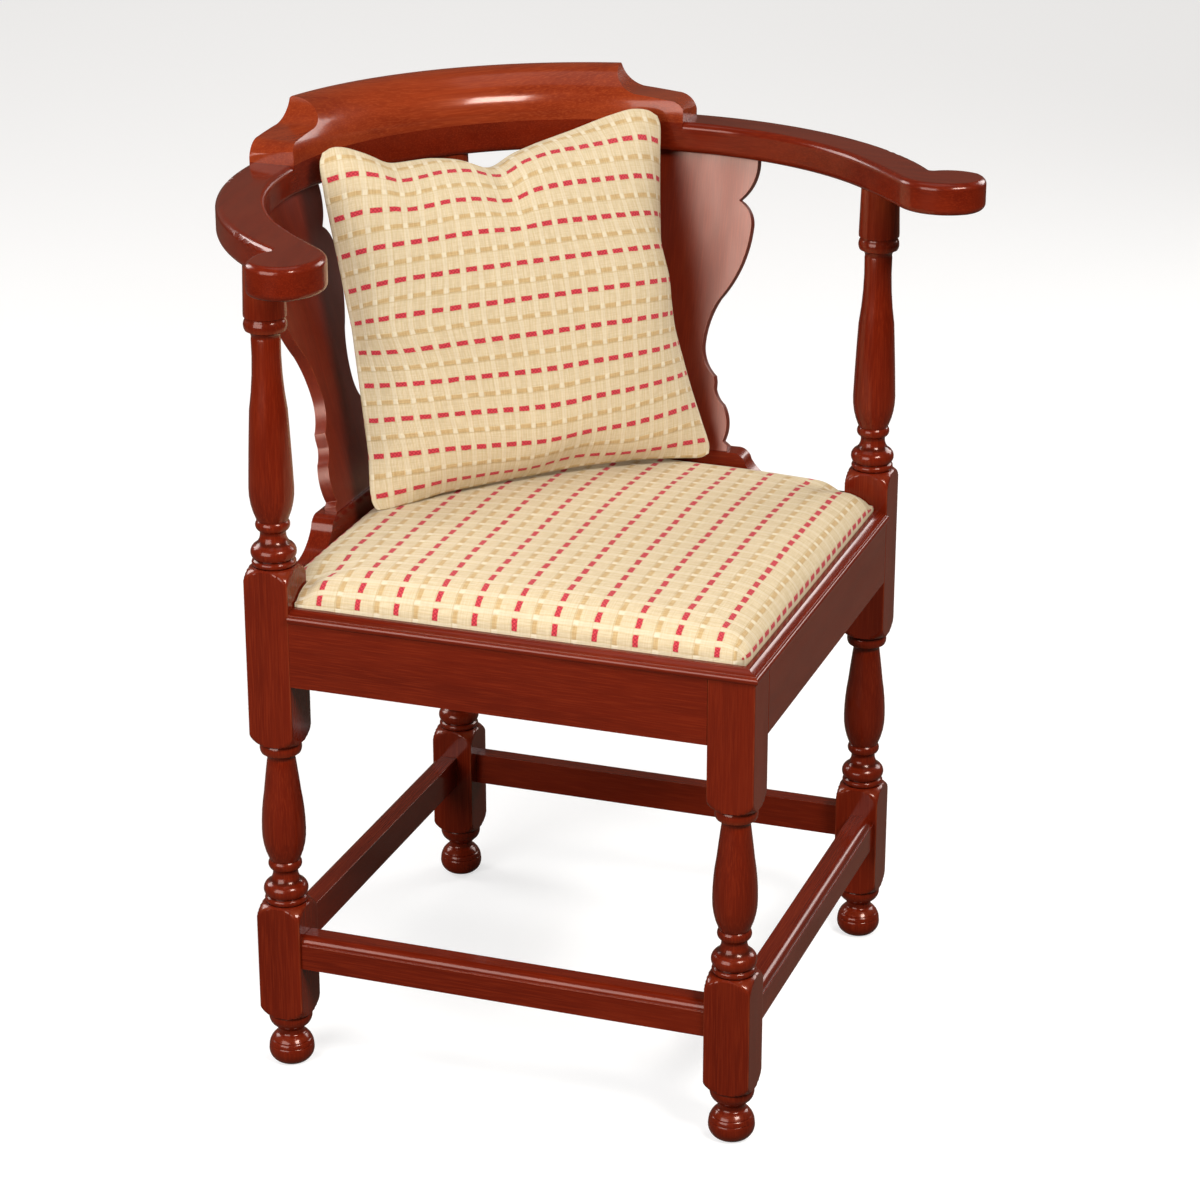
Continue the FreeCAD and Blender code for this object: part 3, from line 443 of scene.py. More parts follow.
@dataclass(frozen=True)
class StripedWeave(Finish):
    """Cream ribbed cloth with rows of red dashes, rows of tan dashes between them and ivory ribs.

    Each width, height or length comes with half the width of its soft edge.
    """

    ground: tuple = (0.545, 0.430, 0.262, 1.0)
    ground_light: tuple = (0.655, 0.548, 0.365, 1.0)
    red: tuple = (0.600, 0.046, 0.062, 1.0)
    red_deep: tuple = (0.370, 0.018, 0.032, 1.0)
    tan: tuple = (0.450, 0.290, 0.115, 1.0)
    tan_light: tuple = (0.560, 0.390, 0.185, 1.0)
    ivory: tuple = (0.730, 0.655, 0.500, 1.0)
    row_pitch: float = 34.7 * MM
    dash_pitch: float = 16.8 * MM
    red_length: tuple = (10.7 * MM, 0.4 * MM)
    red_height: tuple = (4.8 * MM, 0.4 * MM)
    tan_length: tuple = (11.2 * MM, 0.6 * MM)
    tan_height: tuple = (4.2 * MM, 0.6 * MM)
    knot_height: tuple = (4.8 * MM, 1.0 * MM)
    knot_length: tuple = (4.0 * MM, 0.9 * MM)
    rib_width: tuple = (4.2 * MM, 0.9 * MM)
    vein_width: tuple = (1.0 * MM, 0.4 * MM)
    pin_width: tuple = (0.9 * MM, 0.4 * MM)
    side_pin_width: tuple = (0.8 * MM, 0.4 * MM)
    side_pin_offset: float = 3.0 * MM
    tan_cord: tuple = (0.9 * MM, 0.35 * MM)
    tan_cord_offset: float = 2.9 * MM
    red_cord: tuple = (0.8 * MM, 0.35 * MM)
    red_cord_offset: float = 3.2 * MM
    warp_pitch: float = 1.25 * MM
    weft_pitch: float = 0.80 * MM
    stitch: float = 3.5 * MM
    wander: tuple = (2.2 * MM, 1.6 * MM, 0.0)
    wander_scale: float = 110.0
    float_depth: float = 0.6 * MM

    def nearest(self, w: Wiring, place: Socket, pitch: float, shift: float = 0.0) -> Socket:
        """Measure how far a place lies from the nearest of the lines that repeat along a coordinate."""
        turn = w.math("DIVIDE", w.math("SUBTRACT", place, shift), pitch)
        return w.times(w.math("SUBTRACT", w.math("FRACT", w.plus(turn, 0.5)), 0.5), pitch)

    def band(self, w: Wiring, distance: Socket, width: tuple) -> Socket:
        """Make a mask of a soft-edged band around a line."""
        half, soft = width[0] / 2, width[1]
        return w.ramp(w.math("ABSOLUTE", distance), half - soft, half + soft, 1.0, 0.0)

    def uneven(self, w: Wiring, place: Socket) -> Socket:
        """Let the threads wander a little.

        Args:
            w: The wiring.
            place: The place on the cloth.

        Returns:
            The moved place.
        """
        noise = w.node("TexNoise", {"Vector": place, "Scale": self.wander_scale, "Detail": 2.0})
        drift = w.vector("SUBTRACT", noise.outputs["Color"], (0.5, 0.5, 0.5))
        return w.vector("ADD", place, w.vector("MULTIPLY", drift, self.wander))

    def stitches(self, w: Wiring, along: Socket, across: Socket) -> Socket:
        """Make the mask of the crossed stitches in a red dash."""
        slants = [w.times(w.math(way, along, across), math.tau / self.stitch) for way in ("ADD", "SUBTRACT")]
        return w.ramp(w.math("MAXIMUM", *(w.math("SINE", slant) for slant in slants)), 0.35, 0.95)

    def inputs(self, w: Wiring) -> dict:
        """Weave the rows, the ribs and the threads between them.

        Args:
            w: The material's wiring.

        Returns:
            What goes into the shader, by input name.
        """
        place = w.attribute(WEAVE, "Vector")
        parts = w.node("SeparateXYZ", {0: self.uneven(w, place)}).outputs
        column, gap = (self.nearest(w, parts[0], self.dash_pitch, shift)
                       for shift in (0.0, self.dash_pitch / 2))
        red_row, tan_row = (self.nearest(w, parts[1], self.row_pitch, shift)
                            for shift in (0.0, self.row_pitch / 2))
        red = w.times(self.band(w, red_row, self.red_height), self.band(w, column, self.red_length))
        tan = w.times(self.band(w, tan_row, self.tan_height), self.band(w, column, self.tan_length))
        knot = w.times(self.band(w, tan_row, self.knot_height), self.band(w, gap, self.knot_length))
        rib = self.band(w, gap, self.rib_width)
        beside = w.math("SUBTRACT", w.math("ABSOLUTE", gap), self.side_pin_offset)
        pin = w.math("ADD", self.band(w, column, self.pin_width), self.band(w, beside, self.side_pin_width),
                     clamp=True)
        couched = w.math("MAXIMUM", self.band(w, w.plus(tan_row, self.tan_cord_offset), self.tan_cord),
                         w.times(0.6, self.band(w, w.plus(red_row, self.red_cord_offset), self.red_cord)))
        cloth = w.group(CLOTH_THREADS, Place=place, Warp=math.tau / self.warp_pitch,
                        Weft=math.tau / self.weft_pitch)
        tone = w.ramp(cloth["Tone"], 0.32, 0.68)
        crossed = self.stitches(w, column, red_row)
        colour = w.mix(tone, self.ground, self.ground_light)
        for mask, share, second in (
                (rib, 0.30, self.ivory), (pin, 0.28, self.tan_light),
                (self.band(w, gap, self.vein_width), 0.26, self.ground), (couched, 0.42, self.tan),
                (tan, 0.9, w.mix(tone, self.tan, self.tan_light)), (knot, 0.55, self.ivory)):
            colour = w.mix(w.times(mask, share), colour, second)
        lift = w.math("MAXIMUM", w.times(red, w.math("SUBTRACT", 1.0, w.times(crossed, 0.5))),
                      w.times(w.math("MAXIMUM", tan, knot), 0.8))
        height = w.plus(w.plus(lift, w.times(rib, 0.25)), w.times(cloth["Height"], 0.30))
        return {"Base Color": w.mix(red, colour, w.mix(crossed, self.red, self.red_deep)),
                "Roughness": w.ramp(lift, 0.0, 1.0, 0.88, 0.66),
                "Normal": w.bump(height, 0.8, self.float_depth),
                "Specular IOR Level": 0.25, "Sheen Weight": 0.08, "Sheen Roughness": 0.5}


@dataclass(frozen=True)
class ScrewSteel(Finish):
    """Plain steel of the screws."""

    colour: tuple = (0.420, 0.410, 0.390, 1.0)
    dull: tuple = (0.250, 0.240, 0.230, 1.0)

    def inputs(self, w: Wiring) -> dict:
        """Make slightly uneven steel."""
        patch = w.noise(w.node("TexCoord").outputs["Object"], (900.0, 900.0, 900.0), 2.0)
        return {"Base Color": w.mix(w.ramp(patch, 0.3, 0.7), self.colour, self.dull),
                "Roughness": w.ramp(patch, 0.2, 0.8, 0.28, 0.45), "Metallic": 1.0}


@dataclass(frozen=True)
class Finishes:
    """All the finishes of the chair."""

    lacquer: Lacquer = Lacquer("red_brown_lacquer")
    rubbed: Lacquer = Lacquer("rubbed_lacquer", roughness=0.33, specular=0.9, coat=0.0,
                              specular_tint=(1.0, 0.68, 0.56, 1.0))
    # Lighter and more orange for the crest: partly its own warmer wood, partly painted light of the key
    # falling on its face.
    warm: Lacquer = Lacquer("warm_lacquer", (0.150, 0.0150, 0.0040, 1.0), (0.238, 0.0310, 0.0075, 1.0),
                            (0.325, 0.0570, 0.0140, 1.0))
    raw: RawWood = RawWood("sawn_wood")
    steel: ScrewSteel = ScrewSteel("plain_steel")
    webbing: PlainCloth = PlainCloth("jute_webbing", (0.19, 0.12, 0.06, 1.0), (0.36, 0.26, 0.15, 1.0), 2600.0)
    lining: PlainCloth = PlainCloth("black_lining")
    striped: StripedWeave = StripedWeave("striped_weave")


FINISHES = Finishes()


@contextmanager
def editing(mesh: bpy.types.Mesh) -> Iterator[bmesh.types.BMesh]:
    """Open a mesh for editing and write it back.

    Args:
        mesh: The mesh.

    Returns:
        The editable mesh, for the length of a with block.
    """
    bm = bmesh.new()
    bm.from_mesh(mesh)
    yield bm
    bm.to_mesh(mesh)
    bm.free()


def set_values(mesh: bpy.types.Mesh, name: str, values: np.ndarray) -> None:
    """Write a number or a vector for each vertex of a mesh.

    Args:
        mesh: The mesh.
        name: The attribute's name.
        values: One row or number for each vertex.
    """
    kind, part = ("FLOAT_VECTOR", "vector") if values.ndim == 2 else ("FLOAT", "value")
    made = mesh.attributes.get(name) or mesh.attributes.new(name, kind, "POINT")
    made.data.foreach_set(part, values.astype(np.float32).ravel())


def read_rows(data: Sequence, part: str) -> np.ndarray:
    """Return a vector of each vertex, one row each.

    Args:
        data: The vertices, or the data of an attribute.
        part: What is read from each.

    Returns:
        The rows.
    """
    rows = np.empty(len(data) * 3, np.float32)
    data.foreach_get(part, rows)
    return rows.reshape(-1, 3).astype(float)


def vertex_places(mesh: bpy.types.Mesh) -> np.ndarray:
    """Return the places of a mesh's vertices, one row each."""
    return read_rows(mesh.vertices, "co")


def move_vertices(mesh: bpy.types.Mesh, places: np.ndarray) -> None:
    """Move a mesh's vertices to new places, one row each."""
    mesh.vertices.foreach_set("co", places.astype(np.float32).ravel())


def quads(number: np.ndarray) -> np.ndarray:
    """Return the four-sided faces of a grid of vertex numbers, one row each."""
    return np.stack([number[:-1, :-1], number[1:, :-1], number[1:, 1:], number[:-1, 1:]], 2).reshape(-1, 4)


def lay_grain(piece: bpy.types.Object, along: Vector, across: Vector) -> None:
    """Store where each vertex lies in the board that the piece was cut from, with X along the grain.

    Args:
        piece: The wooden piece.
        along: The direction of the grain.
        across: A direction across it.
    """
    first = np.array(along.normalized())
    third = np.cross(first, np.array(across.normalized()))
    third /= np.linalg.norm(third)
    axes = np.stack([first, np.cross(third, first), third], 1)
    draw = np.random.default_rng(sum(map(ord, piece.name)) * 7919)
    set_values(piece.data, GRAIN, vertex_places(piece.data) @ axes + draw.uniform(0.0, 9.0, 3))


def dress(mesh: bpy.types.Mesh, finish: Finish) -> None:
    """Give a mesh one finish."""
    mesh.materials.clear()
    mesh.materials.append(finish.material)


def paint(node: str, finish: Finish) -> None:
    """Give a carried-over node a finish."""
    dress(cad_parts[node].data, finish)
    LOG.info("%s: %s", node, finish.name)


def link(name: str, data: bpy.types.ID) -> bpy.types.Object:
    """Put data into the scene as an object.

    Args:
        name: The object's name.
        data: Its mesh, light or camera.

    Returns:
        The object.
    """
    made = bpy.data.objects.new(name, data)
    bpy.context.scene.collection.objects.link(made)
    return made


def add_piece(name: str, mesh: bpy.types.Mesh, finish: Finish) -> bpy.types.Object:
    """Put a mesh into the scene as a piece with a finish."""
    dress(mesh, finish)
    return link(name, mesh)


def shade(mesh: bpy.types.Mesh, angle: float = 34.0) -> None:
    """Shade a mesh smooth, but keep the edges above an angle in degrees sharp."""
    mesh.polygons.foreach_set("use_smooth", np.ones(len(mesh.polygons), bool))
    mesh.set_sharp_from_angle(angle=math.radians(angle))


def settle(piece: bpy.types.Object, body: Body, slot: str, *nodes: str) -> None:
    """Let a piece ride on its body and let it stand for nodes.

    Args:
        piece: The piece.
        body: The body that carries it.
        slot: The name of a material slot; it is not used.
        nodes: The nodes that it replaces.
    """
    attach(piece, body.value)
    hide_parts(*nodes)
    LOG.info("%s: %d faces", piece.name, len(piece.data.polygons))


@dataclass
class Board:
    """A wooden piece with the shape of its node, and with every arris eased. Angles are in degrees."""

    node: str
    along: Vector
    across: Vector
    arris: float = 0.9 * MM
    finish: Lacquer = FINISHES.lacquer
    sharp: float = 28.0
    flat: float = 0.4
    weld: float = 1e-6

    def ease(self, bm: bmesh.types.BMesh, convex: bool, mark: bmesh.types.BMLayerItem) -> None:
        """Round the sharp edges of one kind and mark the middle of each rounding.

        Args:
            bm: The mesh.
            convex: Whether outer arrises or inner corners are rounded.
            mark: The layer that gets 1 at the middle of a rounding.
        """
        found = [edge for edge in bm.edges if edge.is_manifold and edge.is_convex == convex
                 and edge.calc_face_angle(0.0) > math.radians(self.sharp)]
        if not found:
            return
        made = bmesh.ops.bevel(bm, geom=found, offset=self.arris if convex else self.arris * 0.5,
                               segments=2, profile=0.6, affect="EDGES", clamp_overlap=True)
        rounding = set(made["faces"])
        for vertex in {vertex for face in rounding for vertex in face.verts}:
            if all(face in rounding for face in vertex.link_faces):
                vertex[mark] = 1.0

    def build(self) -> bpy.types.Object:
        """Make the piece.

        Returns:
            The piece.
        """
        mesh = bpy.data.meshes.new(self.node + "_finished")
        with editing(mesh) as bm:
            bm.from_mesh(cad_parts[self.node].data)
            bmesh.ops.remove_doubles(bm, verts=bm.verts, dist=self.weld)
            bmesh.ops.dissolve_limit(bm, angle_limit=math.radians(self.flat), verts=bm.verts, edges=bm.edges)
            arris = bm.verts.layers.float.new(ARRIS)
            groove = bm.verts.layers.float.new(GROOVE)
            # Inner corners are marked for painted shade, arrises for rubbing with a painted highlight.
            self.ease(bm, False, groove)
            self.ease(bm, True, arris)
        for name in [layer.name for layer in mesh.uv_layers]:
            mesh.uv_layers.remove(mesh.uv_layers[name])
        shade(mesh)
        piece = add_piece(mesh.name, mesh, self.finish)
        lay_grain(piece, self.along, self.across)
        piece.modifiers.new("level_faces", "WEIGHTED_NORMAL").keep_sharp = True
        settle(piece, Body.FRAME, "lacquered_wood", self.node)
        return piece


class Profile:
    """A turner's profile, drawn upwards as heights and radii in millimetres."""

    def __init__(self, radius: float, height: float) -> None:
        """Start at a radius and a height."""
        self.points = [(height, radius)]

    def draw(self, rows: Sequence[tuple], base: float = 0.0) -> None:
        """Go on through rows of a radius and a height; rows of four go round through their first two.

        Args:
            rows: The rows.
            base: The level that the heights start from.
        """
        for row in rows:
            if len(row) == 4:
                self.arc(row[0], row[1] + base, row[2], row[3] + base)
            else:
                self.points.append((row[1] + base, row[0]))

    def arc(self, mid_radius: float, mid_height: float, radius: float, height: float) -> None:
        """Go to a radius and a height along a round stretch through a middle point.

        Args:
            mid_radius: The middle point's radius.
            mid_height: The middle point's height.
            radius: The end's radius.
            height: The end's height.
        """
        start, middle, end = map(np.array, (self.points[-1], (mid_height, mid_radius), (height, radius)))
        matrix = 2.0 * np.stack([middle - start, end - start])
        if abs(np.linalg.det(matrix)) < 0.5:
            self.points += [(mid_height, mid_radius), (height, radius)]
            return
        sums = np.array([middle @ middle - start @ start, end @ end - start @ start])
        centre = np.linalg.solve(matrix, sums)
        size = np.linalg.norm(start - centre)
        angles = [math.atan2(*(point - centre)[::-1]) for point in (start, middle, end)]
        first, second = ((late - early + math.pi) % math.tau - math.pi
                         for early, late in zip(angles, angles[1:]))
        steps = max(4, math.ceil(abs(first + second) / math.radians(9.0)))
        for step in range(1, steps + 1):
            angle = angles[0] + (first + second) * step / steps
            self.points.append((centre[0] + size * math.cos(angle), centre[1] + size * math.sin(angle)))


@dataclass
class TurnedLeg:
    """A leg with a ball foot, square blocks and turned vases between them. Sizes are in millimetres.

    The rows are those of Profile.draw, each table from its own base. The lines and the band of rubbing and
    painted highlight at the block's corners are in degrees; the painted shade of grooves and the rubbing and
    painted highlight of beads are each a depth and a share to take off.
    """

    place: str
    block_width: float = 40.0
    lower_block: tuple = (47.0, 155.5)
    upper_block: tuple = (305.5, 466.0)
    front_top: float = 423.0
    shoulder: float = 16.0
    shoulder_radius: float = 18.6
    shoulder_shares: tuple = (0.72, 0.42)
    block_shares: tuple = (0.34, 0.67, 1.0)
    plain_height: float = 46.0
    arris_power: float = 44.0
    facets: int = 96
    corner_lines: tuple = (-2.2, -1.1, 1.1, 2.2)
    corner_rub_and_highlight: float = 1.6
    relief_reach: float = 4.0
    groove_shade: tuple = (1.4, 0.25)
    bead_rub_and_highlight: tuple = (1.6, 0.35)
    end_radius: float = 0.2
    foot_rows: tuple = (
        (12.0, 0.0), (18.2, 5.3, 19.8, 13.8), (19.55, 16.2), (19.0, 16.8), (19.35, 17.4),
        (18.9, 19.0, 18.0, 20.9), (17.3, 21.5), (17.5, 22.1), (15.6, 24.6, 13.6, 26.6),
        (11.7, 28.2, 11.2, 30.4), (11.2, 32.0), (13.6, 34.4, 16.6, 37.4), (18.7, 41.5, 19.0, 46.0))
    vase_rows: tuple = (
        (17.0, 0.2), (18.7, 2.9, 17.3, 5.6), (16.6, 6.3), (17.6, 7.0), (19.3, 11.0, 17.4, 17.0),
        (16.9, 17.6), (12.6, 21.6, 10.9, 27.4), (11.2, 29.8, 12.4, 31.4), (13.1, 31.8),
        (14.6, 35.4, 13.4, 39.2), (13.0, 39.7), (13.6, 40.9), (17.9, 55.0, 18.95, 68.0))
    collar_rows: tuple = ((12.9, 4.6, 15.2, 6.6), (16.9, 7.2), (18.1, 11.6, 17.0, 16.2))
    collar_height: float = 16.5
    ring_rows: tuple = ((16.6, 0.4), (16.6, 1.8), (17.9, 2.6), (18.0, 5.0))
    top_radius: float = 16.9

    def __post_init__(self) -> None:
        """Find the leg's axis and the arm's underside from the frame."""
        low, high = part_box("leg_" + self.place)
        self.axis = (low + high) / 2
        self.arm_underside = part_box("arm_right")[0].z / MM
        self.tall = high.z / MM > self.upper_block[1]

    def block(self, profile: Profile, low: float, high: float, open_top: bool = False) -> None:
        """Draw a square block with rounded shoulders; the square cuts it off later.

        Args:
            profile: The profile to go on with.
            low: The block's lower end.
            high: The block's upper end.
            open_top: Whether the block ends square at its top.
        """
        corner = self.block_width / 2 * math.sqrt(2.0) + 0.5
        swell = self.shoulder_radius + (corner - self.shoulder_radius) * self.shoulder_shares[0]
        bend = self.shoulder * self.shoulder_shares[1]
        profile.draw(((self.shoulder_radius, low), (swell, low + bend, corner, low + self.shoulder)))
        if open_top:
            profile.draw(((corner, high),))
            return
        for share in self.block_shares:
            profile.draw(((corner, low + self.shoulder + (high - low - 2 * self.shoulder) * share),))
        profile.draw(((swell, high - bend, self.shoulder_radius, high),))

    def spindle(self, profile: Profile, low: float, high: float) -> None:
        """Draw the rings, cove, bead, vase and collar between two levels.

        Args:
            profile: The profile to go on with.
            low: Where the turning leaves the block.
            high: The top of its collar.
        """
        neck = high - self.collar_height
        middle = (low + 68.0 + neck) / 2
        profile.draw(self.vase_rows, low)
        profile.draw(((18.4, low + 83.0, 15.925, middle + 3.0), (13.3, middle + 25.0, 12.3, neck)))
        profile.draw(self.collar_rows, neck)

    def outline(self) -> np.ndarray:
        """Draw the whole profile.

        Returns:
            Its heights and radii, one row for each point.
        """
        profile = Profile(self.end_radius, 0.0)
        profile.draw(self.foot_rows)
        self.block(profile, *self.lower_block)
        self.spindle(profile, self.lower_block[1], self.upper_block[0])
        if self.tall:
            plain = self.arm_underside - self.plain_height
            self.block(profile, *self.upper_block)
            self.spindle(profile, self.upper_block[1], plain)
            profile.draw(self.ring_rows, plain)
            profile.draw(((self.top_radius, 0.0), (self.end_radius, 0.0)), self.arm_underside)
        else:
            self.block(profile, self.upper_block[0], self.front_top, open_top=True)
            profile.draw(((self.end_radius, self.front_top),))
        return np.array(profile.points)

    def angles(self) -> np.ndarray:
        """Return the angles of the leg's mesh lines, closer together at the block's corners."""
        close = [math.radians(45.0 + 90.0 * corner + turn) for corner in range(4)
                 for turn in self.corner_lines]
        return np.array(sorted([math.tau * step / self.facets for step in range(self.facets)] + close))

    def shade_and_rub_masks(self, heights: np.ndarray, radii: np.ndarray, angles: np.ndarray,
             turned: np.ndarray) -> tuple[np.ndarray, np.ndarray]:
        """Find the grooves, further in than what is near them, for painted shade, and the arrises, for
        rubbing and painted highlight.

        Args:
            heights: The profile's heights.
            radii: The profile's radii.
            angles: The angles of the mesh lines.
            turned: Which places are turned, and not on a square block.

        Returns:
            The groove's share of painted shade and the arris's share of rubbing and painted highlight at each
            place.
        """
        near = np.abs(heights[:, None] - heights[None, :]) < self.relief_reach
        mean = (near * radii[None, :]).sum(1) / near.sum(1)
        # Grooves get painted shade; beads and the block's corners are rubbed lighter with a painted
        # highlight.
        inside = np.clip((mean - radii) / self.groove_shade[0] - self.groove_shade[1], 0.0, 1.0)
        outer = np.clip((radii - mean) / self.bead_rub_and_highlight[0] - self.bead_rub_and_highlight[1], 0.0, 1.0)
        off = np.abs((angles % (math.pi / 2)) - math.pi / 4) / math.radians(self.corner_rub_and_highlight)
        corner = np.clip(1.0 - off, 0.0, 1.0)
        return np.where(turned, inside[:, None], 0.0), np.where(turned, outer[:, None] * 0.5, corner[None, :])

    def build(self) -> bpy.types.Object:
        """Make the leg.

        Returns:
            The leg.
        """
        heights, radii = self.outline().T
        angles = self.angles()
        across = np.abs(np.cos(angles)) ** self.arris_power + np.abs(np.sin(angles)) ** self.arris_power
        square = self.block_width / 2 * across ** (-1.0 / self.arris_power)
        reach = np.minimum(radii[:, None], square[None, :])
        groove, arris = self.shade_and_rub_masks(heights, radii, angles, radii[:, None] <= square[None, :] + 0.05)
        turn = angles + math.pi / 4
        x = self.axis.x + reach * np.cos(turn)[None, :] * MM
        y = self.axis.y + reach * np.sin(turn)[None, :] * MM
        z = np.broadcast_to(heights[:, None] * MM, x.shape)
        number = np.arange(x.size).reshape(x.shape)
        faces = quads(np.concatenate([number, number[:, :1]], 1).T).tolist()
        faces += [number[0, ::-1].tolist(), number[-1].tolist()]
        mesh = bpy.data.meshes.new(f"leg_{self.place}_turned")
        mesh.from_pydata(np.stack([x, y, z], 2).reshape(-1, 3).tolist(), [], faces)
        set_values(mesh, GROOVE, groove.ravel())
        set_values(mesh, ARRIS, arris.ravel())
        shade(mesh, 38.0)
        piece = add_piece(mesh.name, mesh, FINISHES.lacquer)
        lay_grain(piece, UP, ACROSS)
        settle(piece, Body.FRAME, "lacquered_wood", "leg_" + self.place)
        return piece


@dataclass
class ChairFrame:
    """The glued wooden frame: legs, rails, mouldings, stretchers, splats, arms and crest."""

    rake: float = 15.0
    arm_slant: tuple = (0.62, 0.78)
    moulding_arris: float = 0.5 * MM
    splat_arris: float = 1.1 * MM
    arm_arris: float = 0.8 * MM
    crest_arris: float = 1.2 * MM

    def boards(self) -> list[Board]:
        """List the boards, each with the way its grain runs.

        Returns:
            The boards.
        """
        boards = [Board(part + side.tag, side.along, side.outward)
                  for side in Side for part in ("seat_rail_", "stretcher_")]
        for hand, side in (("left", Side.FRONT_LEFT), ("right", Side.FRONT_RIGHT)):
            boards.append(Board("seat_moulding_" + hand, side.along, side.outward, self.moulding_arris))
        for hand, side in (("left", Side.BACK_LEFT), ("right", Side.BACK_RIGHT)):
            lean = UP + side.outward * math.tan(math.radians(self.rake))
            boards.append(Board("splat_" + hand, lean, side.outward, self.splat_arris, FINISHES.rubbed))
            boards.append(Board("splat_shoe_" + hand, side.along, side.outward))
        for hand, sign in (("left", 1.0), ("right", -1.0)):
            slant = Vector((sign * self.arm_slant[0], self.arm_slant[1], 0.0))
            boards.append(Board("arm_" + hand, slant, UP, self.arm_arris))
        # The crest's lighter lacquer is partly painted light.
        return boards + [Board("crest_rail", ACROSS, UP, self.crest_arris, FINISHES.warm)]

    def build(self) -> None:
        """Make every piece of the frame."""
        for piece in [TurnedLeg(place) for place in PLACES] + self.boards():
            piece.build()
        for place in PLACES:
            paint("corner_block_" + place, FINISHES.raw)
        paint("corner_block_screws", FINISHES.steel)
        paint("crest_screws", FINISHES.steel)


@dataclass
class ClothSettings:
    """How a filled cover is blown up by the cloth simulation."""

    pressure: float
    frames: int
    cap: float
    stiffness: float = 18.0
    bending: float = 0.6
    mass: float = 0.25
    damping: float = 4.0
    quality: int = 6

    def prepare(self, piece: bpy.types.Object, held: Optional[np.ndarray]) -> bpy.types.Modifier:
        """Give a piece its cloth modifier.

        Args:
            piece: The closed cover.
            held: Which vertices stay where they are.

        Returns:
            The modifier.
        """
        cloth = piece.modifiers.new("filling", "CLOTH")
        options = cloth.settings
        options.quality = self.quality
        options.mass = self.mass
        options.tension_stiffness = options.compression_stiffness = self.stiffness
        options.shear_stiffness = self.stiffness * 0.3
        options.bending_stiffness = self.bending
        options.air_damping = self.damping
        options.use_pressure = True
        options.uniform_pressure_force = self.pressure
        options.effector_weights.gravity = 0.0
        if held is not None:
            piece.vertex_groups.new(name="held").add(np.flatnonzero(held).tolist(), 1.0, "REPLACE")
            options.vertex_group_mass = "held"
        cloth.point_cache.frame_start = 1
        cloth.point_cache.frame_end = self.frames
        return cloth

    def inflate(self, piece: bpy.types.Object, held: Optional[np.ndarray] = None) -> None:
        """Run the simulation and keep its result in the mesh.

        Args:
            piece: The closed cover.
            held: Which vertices stay where they are.
        """
        start = vertex_places(piece.data)
        cloth = self.prepare(piece, held)
        for step in range(1, self.frames + 1):
            bpy.context.scene.frame_set(step)
        graph = bpy.context.evaluated_depsgraph_get()
        moved = vertex_places(piece.evaluated_get(graph).to_mesh()) - start
        piece.evaluated_get(graph).to_mesh_clear()
        share = np.minimum(1.0, self.cap / np.maximum(np.linalg.norm(moved, axis=1), TINY))
        piece.modifiers.remove(cloth)
        bpy.context.scene.frame_set(1)
        move_vertices(piece.data, start + moved * share[:, None])
        piece.data.update()


